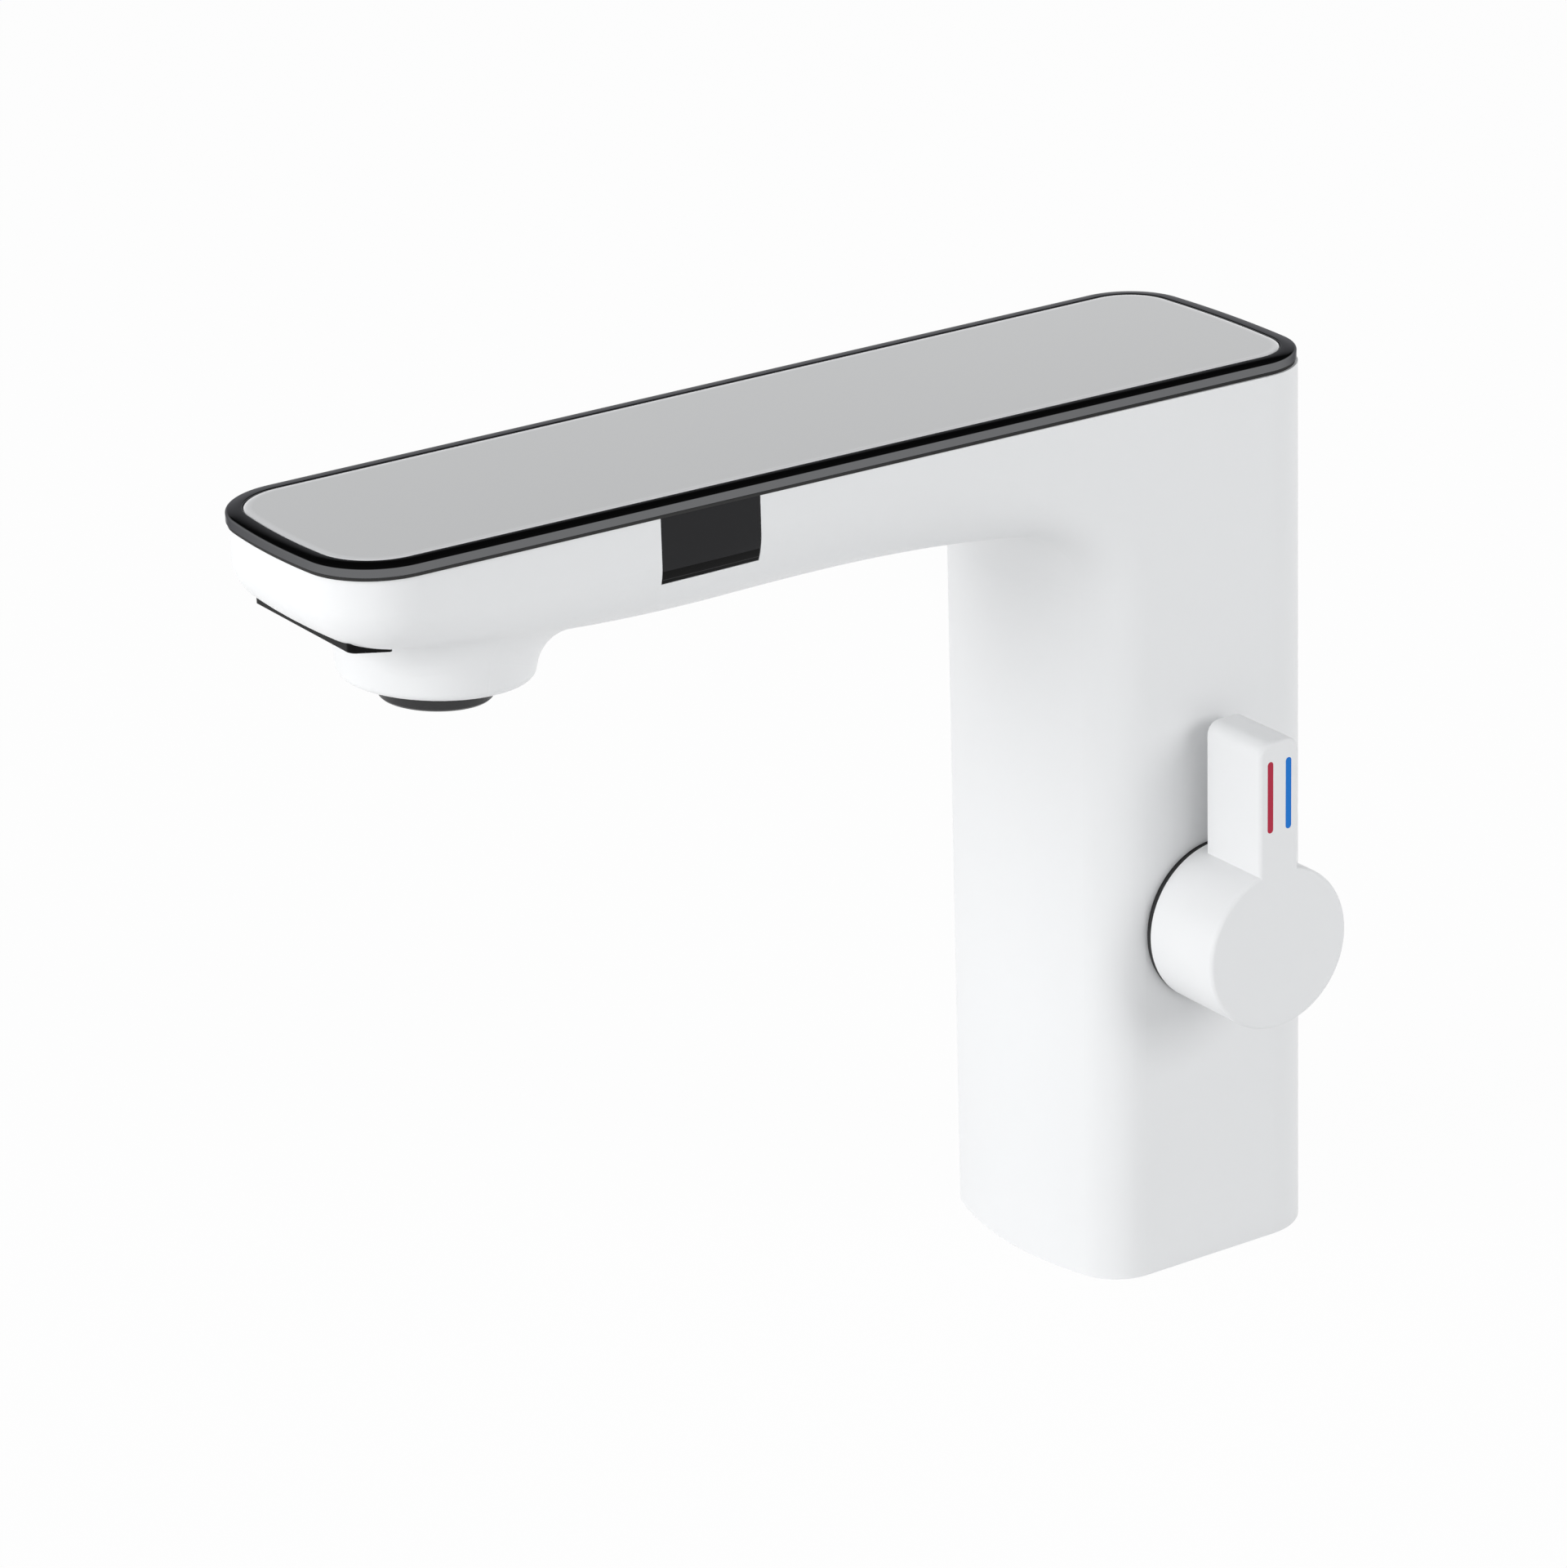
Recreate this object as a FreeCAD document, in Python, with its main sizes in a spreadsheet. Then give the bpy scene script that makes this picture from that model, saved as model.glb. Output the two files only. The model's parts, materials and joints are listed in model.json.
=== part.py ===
"""Sensor basin tap: a one-piece L-shaped casting with a glass-topped spout, a black
side window, a black window under the tip and a lever on the right-hand side.

Millimetres.  +Z is up, the spout reaches towards -Y and the lever turns about +X.
The origin is the middle of the base, on the deck that the tap stands on.
"""
import FreeCAD, Part
import math
import os
import re
import Sketcher
from FreeCAD import Placement, Rotation, Vector

os.makedirs("parts", exist_ok=True)
doc = FreeCAD.newDocument("SensorTap")
sheet = doc.addObject("Spreadsheet::Sheet", "Sizes")

# ---------------------------------------------------------------- driving sizes
SIZES = [
    # frame round the glass, seen from above
    ("top_height", 175.0, "deck to the upper face of the frame"),
    ("frame_back_half", 27.67, "half width of the frame at its back end"),
    ("frame_tip_half", 25.65, "half width of the frame at its tip"),
    ("frame_back_y", 25.25, "back end of the frame"),
    ("frame_tip_y", -179.35, "tip of the frame"),
    ("frame_back_crown", 211.0, "radius of the bowed back end"),
    ("frame_tip_crown", 130.0, "radius of the bowed tip"),
    ("frame_back_corner", 12.2, "corner radius at the back"),
    ("frame_tip_corner", 14.1, "corner radius at the tip"),
    ("frame_band", 2.2, "height of the band round the frame"),
    ("frame_edge_round", 1.0, "rounding of the frame's upper outer edge"),
    ("frame_lip", 4.2, "outer edge of the frame to the glass"),
    ("frame_ledge", 1.4, "width of the ledge under the glass"),
    ("frame_ledge_depth", 1.25, "thickness of that ledge"),
    ("skirt_wall", 1.4, "wall of the skirt inside the casting"),
    ("glass_drop", 0.35, "glass below the frame's upper face"),
    ("glass_thick", 1.8, "glass thickness"),
    ("glass_gap", 0.1, "gap round the glass"),
    ("shadow_gap", 0.6, "gap between the frame and the casting"),
    # casting, spout
    ("tip_setback", 0.65, "casting inside the frame at the tip"),
    ("back_step", 0.25, "casting outside the frame at the back"),
    ("root_under_z", 149.0, "underside of the spout where it meets the column"),
    ("under_rise", 0.0292, "rise of the underside per millimetre towards the tip"),
    ("under_bend_y", -100.0, "where the underside starts to curve up"),
    ("tip_under_z", 159.6, "underside at the tip"),
    ("inner_corner", 12.0, "radius between the underside and the column"),
    ("column_round", 10.0, "rounding of the column's front edges"),
    ("spout_round", 14.5, "rounding of the spout's lower edges beside the column"),
    ("bend_round", 14.0, "the same rounding where the underside starts to curve"),
    ("tip_round", 8.0, "the same rounding at the tip"),
    # casting, column
    ("front_y", -29.05, "front of the column"),
    ("front_crown", 62.6, "radius of the bowed front of the column"),
    ("base_back_half", 27.4, "half width of the base at its back"),
    ("base_flare", 1.25, "base behind the top of the casting"),
    # casting, inside
    ("column_wall", 3.2, "wall of the column"),
    ("rim_wall", 2.3, "wall beside the tray ledge"),
    ("ledge_z", 168.0, "ledge that carries the tray"),
    ("channel_wall", 5.5, "outline to the shallow channel in the spout"),
    ("channel_floor", 161.5, "floor of the shallow channel"),
    ("duct_half", 16.5, "half width of the deep channel for the tube"),
    ("duct_front_y", -160.0, "front end of the deep channel"),
    ("duct_floor", 156.5, "floor of the deep channel"),
    # outlet
    ("outlet_y", -148.36, "middle of the outlet's lower face"),
    ("outlet_z", 140.1, "height of the outlet's lower face"),
    ("outlet_tilt", 4.06, "tilt of the jet away from the column, degrees"),
    ("boss_start", 4.0, "lower face of the boss above the outlet's lower face"),
    ("boss_radius", 17.1, "radius of the boss at its lower face"),
    ("boss_top_radius", 19.8, "radius of the boss inside the spout"),
    ("boss_length", 18.0, "length of the boss along its axis"),
    ("boss_blend", 9.0, "radius where the boss runs into the spout"),
    ("boss_edge_round", 1.6, "rounding of the boss's lower edge"),
    ("boss_hole", 10.3, "hole in the boss round the aerator"),
    ("nozzle_seat", 7.2, "shoulder that the nozzle stands on"),
    ("nozzle_radius", 12.1, "nozzle body radius"),
    ("nozzle_top", 16.0, "upper face of the nozzle"),
    ("aerator_radius", 10.0, "aerator ring radius"),
    ("aerator_edge", 0.35, "chamfer of the ring's lower edge"),
    ("aerator_collar", 6.0, "height of the aerator's plain collar"),
    ("aerator_thread", 9.2, "aerator thread radius"),
    ("aerator_top", 10.5, "upper face of the aerator"),
    ("aerator_mouth", 7.7, "mouth of the aerator ring"),
    ("insert_radius", 8.3, "aerator insert radius"),
    ("insert_start", 2.3, "lower face of the insert"),
    ("insert_grille", 1.6, "thickness of the insert's grille"),
    ("grille_hole", 0.7, "radius of a grille hole"),
    ("grille_pitch", 2.1, "distance between rings of grille holes"),
    ("outlet_seal_thick", 1.2, "thickness of the aerator's flat seal"),
    ("outlet_seal_bore", 6.2, "bore of that seal"),
    ("elbow_radius", 7.0, "outlet elbow radius"),
    ("elbow_arm_radius", 5.6, "radius of the elbow's arm"),
    ("elbow_stem", 4.5, "stem of the elbow in the nozzle"),
    ("elbow_stem_end", 12.8, "lower end of the stem"),
    ("elbow_top", 26.8, "upper end of the elbow"),
    ("elbow_mouth_y", -134.0, "mouth of the elbow"),
    ("elbow_socket", 6.0, "depth of the tube's socket in the elbow"),
    # spout tube
    ("tube_radius", 3.8, "spout tube outer radius"),
    ("tube_bore", 2.8, "spout tube bore radius"),
    ("tube_z", 162.4, "height of the tube in the spout"),
    ("tube_y", -15.0, "tube in the column"),
    ("tube_bend", 12.0, "bend radius of the tube"),
    ("fit", 0.1, "radial clearance of plain fits"),
    ("room", 0.3, "clearance of pieces that stand beside one another"),
    ("seal_wire", 0.68, "section radius of the O-rings"),
    # tray, boards, glass
    ("tray_gap", 0.2, "tray inside the casting"),
    ("tray_seal", 0.6, "thickness of the tray's gasket"),
    ("tray_seal_width", 1.8, "width of the tray's gasket"),
    ("tray_thick", 1.4, "thickness of the tray"),
    ("post_inset", 7.5, "outline to the tray screws"),
    ("post_radius", 3.0, "radius of the tray's screw posts"),
    ("post_tip_y", -163.0, "front pair of tray screws"),
    ("post_mid_y", -85.0, "middle pair of tray screws"),
    ("post_back_y", 8.0, "back pair of tray screws"),
    ("tray_screw", 1.45, "tray screw radius"),
    ("tray_screw_head", 2.8, "tray screw head radius"),
    ("tray_head_deep", 0.9, "tray screw head height"),
    ("tray_screw_long", 8.0, "tray screw length below the head"),
    ("board_inset", 6.2, "outline to the display board"),
    ("board_thick", 1.2, "circuit board thickness"),
    ("control_board_half", 14.0, "half width of the control board"),
    ("control_board_front", -8.0, "front edge of the control board"),
    ("control_board_back", 18.0, "back edge of the control board"),
    ("control_board_drop", 3.0, "control board below the tray"),
    ("board_stud", 2.2, "radius of the studs that hold the control board"),
    ("board_stud_inset", 3.2, "studs inside the board's edges"),
    # side window
    ("side_window_y", -107.55, "middle of the side window"),
    ("side_window_long", 19.8, "length of the side window"),
    ("side_window_low", 160.3, "lower edge of the side window"),
    ("side_window_back", 22.4, "inner face of the side window"),
    ("side_window_bevel", 2.2, "height of the bevel along its lower edge"),
    ("side_window_bevel_deep", 1.9, "depth of that bevel"),
    ("window_gap", 0.15, "gap round the windows"),
    ("side_eye_radius", 1.6, "radius of the side sensor's eyes"),
    ("side_eye_apart", 4.0, "side sensor's eyes from their middle"),
    ("side_board_long", 16.0, "length of the side sensor board"),
    ("side_board_low", 161.9, "lower edge of the side sensor board"),
    ("side_board_high", 167.7, "upper edge of the side sensor board"),
    # window under the tip
    ("tip_window_half", 16.5, "half width of the window under the tip"),
    ("tip_window_y", -173.6, "front edge of that window"),
    ("tip_window_z", 157.9, "lower front edge of that window"),
    ("tip_window_deep", 8.5, "front to back size of that window"),
    ("tip_window_fall", 1.55, "fall of that window towards the column"),
    ("tip_window_thick", 1.7, "thickness of that window"),
    ("tip_window_corner", 1.2, "corner radius of that window"),
    ("tip_eye_radius", 1.5, "radius of the tip sensor's eyes"),
    ("tip_eye_apart", 6.0, "tip sensor's eyes from the middle"),
    ("tip_eye_y", -169.5, "tip sensor's eyes"),
    ("tip_board_half", 10.0, "half width of the tip sensor board"),
    # lever and cartridge
    ("hub_y", -0.5, "lever axis"),
    ("hub_z", 69.5, "height of the lever axis"),
    ("hub_radius", 15.7, "lever hub radius"),
    ("hub_start", 28.35, "inner face of the hub"),
    ("hub_end", 46.5, "outer face of the hub"),
    ("hub_recess", 14.4, "radius of the recess inside the hub"),
    ("hub_recess_deep", 1.05, "depth of that recess"),
    ("lever_start", 31.0, "inner face of the lever"),
    ("lever_half", 4.45, "half width of the lever"),
    ("lever_top", 110.4, "top of the lever"),
    ("lever_corner", 2.6, "corner radius at the lever's top"),
    ("handle_edge", 0.7, "rounding of the handle's edges"),
    ("mark_apart", 2.08, "coloured marks from the middle of the lever"),
    ("mark_half", 0.65, "half width of a mark"),
    ("mark_low", 92.8, "lower end of the marks"),
    ("mark_high", 106.7, "upper end of the marks"),
    ("mark_deep", 0.4, "depth of the marks' grooves"),
    ("turn_limit", 45.0, "travel of the lever each way, degrees"),
    ("stop_orbit", 9.0, "radius on which the stop lug runs"),
    ("stop_lug", 1.4, "stop lug radius"),
    ("stop_lug_start", 26.9, "free end of the stop lug"),
    ("stop_ring_start", 26.5, "inner face of the stop ring"),
    ("stop_ring_thick", 1.5, "thickness of the stop ring"),
    ("stop_ring_bore", 5.2, "bore of the stop ring"),
    ("grub_radius", 2.0, "grub screw radius"),
    ("grub_x", 35.0, "grub screw along the lever axis"),
    ("grub_long", 7.0, "grub screw length"),
    ("seat_face", 27.05, "face in the casting's side that the seat ring rests on"),
    ("seat_ring_radius", 15.5, "seat ring radius"),
    ("seat_ring_thick", 1.05, "seat ring thickness"),
    ("neck_radius", 13.9, "neck of the valve block in the casting's side"),
    ("neck_end", 28.0, "outer end of the neck"),
    ("block_shoulder", 23.7, "shoulder of the valve block inside the casting"),
    ("block_housing", 15.6, "radius of the valve block's cartridge housing"),
    ("block_back", -17.0, "inner end of the valve block"),
    ("block_front", 10.0, "where the block turns into the round housing"),
    ("block_half", 16.5, "half size of the valve block"),
    ("cartridge_start", -3.0, "floor of the cartridge bore"),
    ("cartridge_radius", 12.5, "cartridge radius"),
    ("cartridge_end", 20.0, "outer end of the cartridge"),
    ("cartridge_nut_end", 26.5, "outer end of the cartridge nut"),
    ("disc_chamber", 10.6, "radius of the disc chamber"),
    ("disc_radius", 10.3, "ceramic disc radius"),
    ("disc_thick", 3.0, "ceramic disc thickness"),
    ("disc_floor", 1.4, "cartridge floor below the discs"),
    ("port_radius", 2.4, "ports in the cartridge and discs"),
    ("stem_radius", 4.0, "stem radius"),
    ("stem_end", 39.0, "outer end of the stem"),
    ("driver_thick", 3.2, "thickness of the disc driver"),
    # water pipes
    ("pipe_x", -9.5, "pipes from the middle of the column"),
    ("pipe_apart", 9.0, "inlet pipes from the lever axis"),
    ("pipe_radius", 5.0, "pipe stem radius"),
    ("pipe_bore", 2.8, "pipe bore radius"),
    ("pipe_top", 60.6, "upper end of the inlet pipes"),
    ("pipe_bore_top", 61.0, "upper end of the block's inlet bores"),
    ("socket_radius", 7.0, "hose socket radius"),
    ("socket_bottom", 2.5, "lower face of the hose sockets, just inside the base gasket"),
    ("socket_top", 20.0, "upper end of the hose sockets"),
    ("socket_thread", 4.46, "minor radius of the hose thread"),
    ("socket_deep", 12.0, "depth of the hose thread"),
    ("socket_flange", 7.6, "radius of the socket's flange"),
    ("socket_flange_thick", 2.0, "thickness of that flange"),
    ("inlet_seal_z", 57.0, "O-rings of the inlet pipes"),
    ("riser_bottom", 78.2, "lower end of the riser"),
    ("riser_top", 102.8, "upper end of the riser"),
    ("riser_seal_low", 82.0, "lower O-ring of the riser"),
    ("riser_seal_high", 100.5, "upper O-ring of the riser"),
    ("outlet_port_z", 76.5, "outlet port of the cartridge"),
    # solenoid valve
    ("valve_bottom", 98.0, "lower face of the solenoid valve body"),
    ("valve_top", 112.0, "upper face of the solenoid valve body"),
    ("valve_y", 4.0, "axis of the solenoid"),
    ("valve_half", 15.0, "half size of the solenoid valve body"),
    ("lug_radius", 8.5, "outlet lug of the valve body"),
    ("lug_bottom", 99.0, "lower face of the outlet lug"),
    ("tube_foot", 106.0, "lower end of the tube's socket"),
    ("valve_seal_z", 109.5, "O-ring of the tube's socket"),
    ("valve_passage_z", 103.8, "outlet passage in the valve body"),
    ("seat_bore", 3.4, "valve seat bore"),
    ("diaphragm_radius", 11.4, "diaphragm radius"),
    ("diaphragm_thick", 1.6, "diaphragm thickness"),
    ("diaphragm_room", 2.4, "depth of the diaphragm chamber"),
    ("bonnet_half", 14.0, "half size of the bonnet plate"),
    ("bonnet_thick", 2.5, "thickness of the bonnet plate"),
    ("guide_radius", 5.2, "guide tube outer radius"),
    ("guide_top", 139.0, "top of the guide tube"),
    ("guide_cap", 1.5, "thickness of the guide tube's end"),
    ("plunger_radius", 4.0, "plunger radius"),
    ("plunger_clear", 0.15, "radial clearance of the plunger"),
    ("plunger_floor", 0.8, "thickness under the plunger"),
    ("plunger_long", 15.0, "plunger length"),
    ("plunger_travel", 1.5, "plunger travel"),
    ("spring_radius", 3.0, "mean radius of the plunger spring"),
    ("spring_wire", 0.35, "wire radius of the plunger spring"),
    ("spring_turns", 6.0, "turns of the plunger spring"),
    ("coil_radius", 11.5, "coil radius"),
    ("coil_high", 18.2, "coil height"),
    ("yoke_thick", 1.2, "yoke strip thickness"),
    ("yoke_half", 6.0, "half width of the yoke strip"),
    ("yoke_gap", 0.5, "coil to the upright of the yoke"),
    ("clip_radius", 7.5, "coil clip radius"),
    ("clip_thick", 1.6, "coil clip thickness"),
    ("valve_screw", 1.5, "bonnet screw radius"),
    ("valve_screw_head", 2.4, "bonnet screw head radius"),
    ("valve_screw_apart", 11.2, "bonnet screws from the solenoid axis"),
    ("valve_screw_long", 9.5, "bonnet screw length below the head"),
    ("probe_radius", 1.5, "temperature probe radius"),
    ("probe_head", 2.6, "temperature probe head radius"),
    ("probe_tip_x", -2.2, "inner end of the temperature probe"),
    # base
    ("base_seal_lip", 1.2, "lip of the casting outside the base gasket"),
    ("base_seal_thick", 3.0, "thickness of the base gasket, up to the base plate"),
    ("gasket_room", 0.6, "base gasket clear of the hoses, the studs and the cable"),
    ("plate_bottom", 3.0, "lower face of the base plate"),
    ("plate_top", 8.0, "upper face of the base plate"),
    ("plate_gap", 0.15, "base plate inside the casting"),
    ("base_post_x", 19.5, "screw posts in the base"),
    ("base_post_front", -15.5, "front screw posts"),
    ("base_post_back", 15.0, "back screw posts"),
    ("base_post_radius", 3.8, "screw post radius"),
    ("base_post_top", 24.0, "upper end of the screw posts"),
    ("base_web", 6.0, "web from a screw post's middle into the wall"),
    ("base_screw", 1.9, "base screw radius"),
    ("base_screw_head", 3.5, "base screw head radius"),
    ("base_head_deep", 2.0, "base screw head height"),
    ("base_screw_long", 12.0, "base screw length below the head"),
    ("stud_x", 12.0, "stud holes from the middle of the base"),
    ("stud_apart", 12.0, "stud holes from the lever axis"),
    ("stud_thread", 3.32, "minor radius of the stud thread"),
    ("grommet_radius", 4.6, "grommet radius in the plate"),
    ("grommet_flange", 5.8, "grommet flange radius"),
    ("grommet_flange_thick", 1.2, "grommet flange thickness"),
    ("grommet_bore", 2.2, "cable hole in the grommet"),
]
number = {name: size for name, size, meaning in SIZES}
for line, (name, size, meaning) in enumerate(SIZES, start=1):
    sheet.set("A%d" % line, str(size))
    sheet.setAlias("A%d" % line, name)
    sheet.set("B%d" % line, meaning)
doc.recompute()


# ---------------------------------------------------------------- small helpers
def value(formula):
    """The size that a sum of products of named sizes and numbers stands for."""
    total = 0.0
    for sign, term in re.findall(r"([+-]?)\s*([^+-]+)", str(formula)):
        product = 1.0
        for factor in term.split("*"):
            word = factor.strip()
            product *= number[word] if word in number else float(word)
        total += -product if sign == "-" else product
    return total


def bind(thing, prop, formula):
    """Tie a property to a formula over the sheet's sizes."""
    text = re.sub(r"[a-z][a-z_]*[a-z]", lambda word: "Sizes." + word.group(0), str(formula))
    thing.setExpression(prop, text)


def place(thing, x=0, y=0, z=0, rotation=None):
    """Turn a piece and tie its place to the sheet."""
    if rotation is not None:
        thing.Placement = Placement(Vector(0, 0, 0), rotation)
    for axis, formula in zip("xyz", (x, y, z)):
        bind(thing, "Placement.Base.%s" % axis, formula)
    return thing


def box(name, x, y, z):
    """A block between two formulas along each axis."""
    block = doc.addObject("Part::Box", name)
    for prop, (low, high) in zip(("Length", "Width", "Height"), (x, y, z)):
        bind(block, prop, "(%s) - (%s)" % (high, low))
    return place(block, x[0], y[0], z[0])


TURN = {"X": Rotation(Vector(0, 1, 0), 90), "Y": Rotation(Vector(1, 0, 0), -90), "Z": Rotation()}


def rod(name, radius, low, high, axis="Z", at=(0, 0)):
    """A cylinder along X, Y or Z; at holds its other two coordinates in order."""
    bar = doc.addObject("Part::Cylinder", name)
    bind(bar, "Radius", radius)
    bind(bar, "Height", "(%s) - (%s)" % (high, low))
    spot = list(at)
    spot.insert("XYZ".index(axis), low)
    return place(bar, spot[0], spot[1], spot[2], TURN[axis])


def fuse(name, *pieces):
    whole = doc.addObject("Part::MultiFuse", name)
    whole.Shapes = list(pieces)
    return whole


def group(name, *pieces):
    """Separate solids that share one node."""
    whole = doc.addObject("Part::Compound", name)
    whole.Links = list(pieces)
    return whole


def cut(name, base, *tools):
    tool = tools[0] if len(tools) == 1 else fuse(name + "_room", *tools)
    rest = doc.addObject("Part::Cut", name)
    rest.Base, rest.Tool = base, tool
    return rest


def common(name, first, second):
    both = doc.addObject("Part::Common", name)
    both.Base, both.Tool = first, second
    return both


def o_ring(name, radius, wire, z, at=(0, 0), rotation=None):
    """An O-ring about Z, by the radius of its wire's centre line.

    The wire has eight flats, as it is squeezed between its groove and its bore.
    """
    section = doc.addObject("Part::RegularPolygon", name + "_section")
    section.Polygon = 8
    bind(section, "Circumradius", wire)
    place(section, radius, 0, 0, Rotation(Vector(1, 0, 0), 90))
    ring = doc.addObject("Part::Revolution", name + "_wire")
    ring.Source = section
    ring.Base, ring.Axis, ring.Angle, ring.Solid = Vector(0, 0, 0), Vector(0, 0, 1), 360, True
    return place(group(name, ring), at[0], at[1], z, rotation)


def tilt(thing):
    """Stand a piece, made about Z from the outlet's lower face, on the tilted outlet axis."""
    thing.Placement = Placement(Vector(0, 0, 0), Rotation(Vector(-1, 0, 0), value("outlet_tilt")))
    bind(thing, "Placement.Rotation.Angle", "outlet_tilt")
    bind(thing, "Placement.Base.y", "outlet_y")
    bind(thing, "Placement.Base.z", "outlet_z")
    return thing


def new_body(name):
    return doc.addObject("PartDesign::Body", name)


def sketch(body, name, role="XY_Plane", offset=0):
    """A sketch on one of the body's own origin planes, offset along its normal."""
    drawing = body.newObject("Sketcher::SketchObject", name)
    plane = [item for item in body.Origin.OriginFeatures if item.Role == role][0]
    drawing.AttachmentSupport = [(plane, "")]
    drawing.MapMode = "FlatFace"
    bind(drawing, "AttachmentOffset.Base.z", offset)
    return drawing


def tie(drawing, kind, *arguments):
    """Add a dimension to a sketch and tie it to the formula that comes last."""
    formula = arguments[-1]
    index = drawing.addConstraint(
        Sketcher.Constraint(kind, *arguments[:-1], value(formula)))
    bind(drawing, "Constraints[%d]" % index, formula)


def circle(drawing, radius, x=None, y=None):
    """A circle, at the sketch's origin unless x and y are given."""
    centre = Vector(value(x or "0"), value(y or "0"), 0)
    line = drawing.addGeometry(Part.Circle(centre, Vector(0, 0, 1), value(radius)), False)
    tie(drawing, "Radius", line, radius)
    for kind, formula in (("DistanceX", x), ("DistanceY", y)):
        if formula is None:
            formula = "0"
        if value(formula):
            tie(drawing, kind, -1, 1, line, 3, formula)
        else:
            drawing.addConstraint(Sketcher.Constraint(
                "PointOnObject", line, 3, -2 if kind == "DistanceX" else -1))


def polygon(drawing, corners):
    """A closed outline through corners, each a pair of formulas."""
    spots = [Vector(value(x), value(y), 0) for x, y in corners]
    first = len(drawing.Geometry)
    count = len(spots)
    for index in range(count):
        drawing.addGeometry(Part.LineSegment(spots[index], spots[(index + 1) % count]), False)
    for index in range(count):
        drawing.addConstraint(Sketcher.Constraint(
            "Coincident", first + index, 2, first + (index + 1) % count, 1))
    for index, (x, y) in enumerate(corners):
        tie(drawing, "DistanceX", -1, 1, first + index, 1, x)
        tie(drawing, "DistanceY", -1, 1, first + index, 1, y)


def pad(body, drawing, length, downwards=False, midplane=False):
    feature = body.newObject("PartDesign::Pad", drawing.Name + "_pad")
    feature.Profile = drawing
    bind(feature, "Length", length)
    feature.Reversed = downwards
    feature.Midplane = midplane
    doc.recompute()
    return feature


def pocket(body, drawing, depth, upwards=False):
    """Cut a sketch out of its body, and stop if it removes nothing."""
    before = body.Shape.Volume
    feature = body.newObject("PartDesign::Pocket", drawing.Name + "_pocket")
    feature.Profile = drawing
    bind(feature, "Length", depth)
    feature.Reversed = upwards
    doc.recompute()
    if body.Shape.Volume >= before - 1e-6:
        raise RuntimeError(drawing.Name + " cuts nothing")
    return feature


def edges_where(shape, test):
    """Names of the edges whose middle point passes a test."""
    names = []
    for index, edge in enumerate(shape.Edges, start=1):
        middle = edge.valueAt((edge.FirstParameter + edge.LastParameter) / 2)
        if test(edge, middle):
            names.append("Edge%d" % index)
    return names


def round_edges(body, name, radius, test):
    """Round the edges of a body that pass a test of edge and middle point."""
    base = body.Tip
    names = edges_where(base.Shape, test)
    feature = body.newObject("PartDesign::Fillet", name)
    feature.Base = (base, names)
    bind(feature, "Radius", radius)
    doc.recompute()
    return feature


# ---------------------------------------------------------------- the bowed outline
class Outline:
    """A long outline whose ends bow outwards and whose sides taper.

    Each end is an arc (the crown) joined to the sides by tangent corner arcs.  The
    corner's centre lies a corner radius inside the side line and a crown radius less
    a corner radius from the crown's centre, so insets keep all the centres.
    """

    def __init__(self, tip_half, back_half, tip, back, crowns, corners):
        self.crowns, self.corners = crowns, corners
        length = math.hypot(back_half - tip_half, back - tip)
        self.along = ((back_half - tip_half) / length, (back - tip) / length)
        self.side = math.atan2(-self.along[0], self.along[1])
        self.centres, self.crown_y = [], []
        for sign, end, crown, corner in ((-1, tip, crowns[0], corners[0]),
                                         (1, back, crowns[1], corners[1])):
            crown_y = end - sign * crown
            start_x = back_half - corner * self.along[1]
            start_y = back + corner * self.along[0]
            reach = start_x * self.along[0] + (start_y - crown_y) * self.along[1]
            spare = start_x ** 2 + (start_y - crown_y) ** 2 - (crown - corner) ** 2
            step = -reach + sign * math.sqrt(reach ** 2 - spare)
            self.centres.append((start_x + step * self.along[0], start_y + step * self.along[1]))
            self.crown_y.append(crown_y)

    def half_at(self, y):
        """Half width where the side line passes y."""
        x0, y0 = self.centres[0]
        x0 += self.corners[0] * math.cos(self.side)
        y0 += self.corners[0] * math.sin(self.side)
        return x0 + (y - y0) * self.along[0] / self.along[1]

    def draw(self, drawing, inset="0"):
        """Add the outline to a sketch, moved inwards by a formula."""
        small = value(inset)
        (tip_x, tip_y), (back_x, back_y) = self.centres
        tip_angle = math.atan2(tip_y - self.crown_y[0], tip_x)
        back_angle = math.atan2(back_y - self.crown_y[1], back_x)
        tip_corner, back_corner = (corner - small for corner in self.corners)
        tip_crown, back_crown = (crown - small for crown in self.crowns)
        first = len(drawing.Geometry)

        def arc(x, y, radius, start, end):
            ring = Part.Circle(Vector(x, y, 0), Vector(0, 0, 1), radius)
            drawing.addGeometry(Part.ArcOfCircle(ring, start, end), False)

        def side(mirror):
            ends = []
            for (x, y), radius in (((tip_x, tip_y), tip_corner), ((back_x, back_y), back_corner)):
                ends.append(Vector(mirror * (x + radius * math.cos(self.side)),
                                   y + radius * math.sin(self.side), 0))
            if mirror < 0:
                ends.reverse()
            drawing.addGeometry(Part.LineSegment(*ends), False)

        arc(tip_x, tip_y, tip_corner, tip_angle, self.side)
        side(1)
        arc(back_x, back_y, back_corner, self.side, back_angle)
        arc(0, self.crown_y[1], back_crown, back_angle, math.pi - back_angle)
        arc(-back_x, back_y, back_corner, math.pi - back_angle, math.pi - self.side)
        side(-1)
        arc(-tip_x, tip_y, tip_corner, math.pi - self.side, math.pi - tip_angle)
        arc(0, self.crown_y[0], tip_crown, math.pi - tip_angle, 2 * math.pi + tip_angle)


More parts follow.
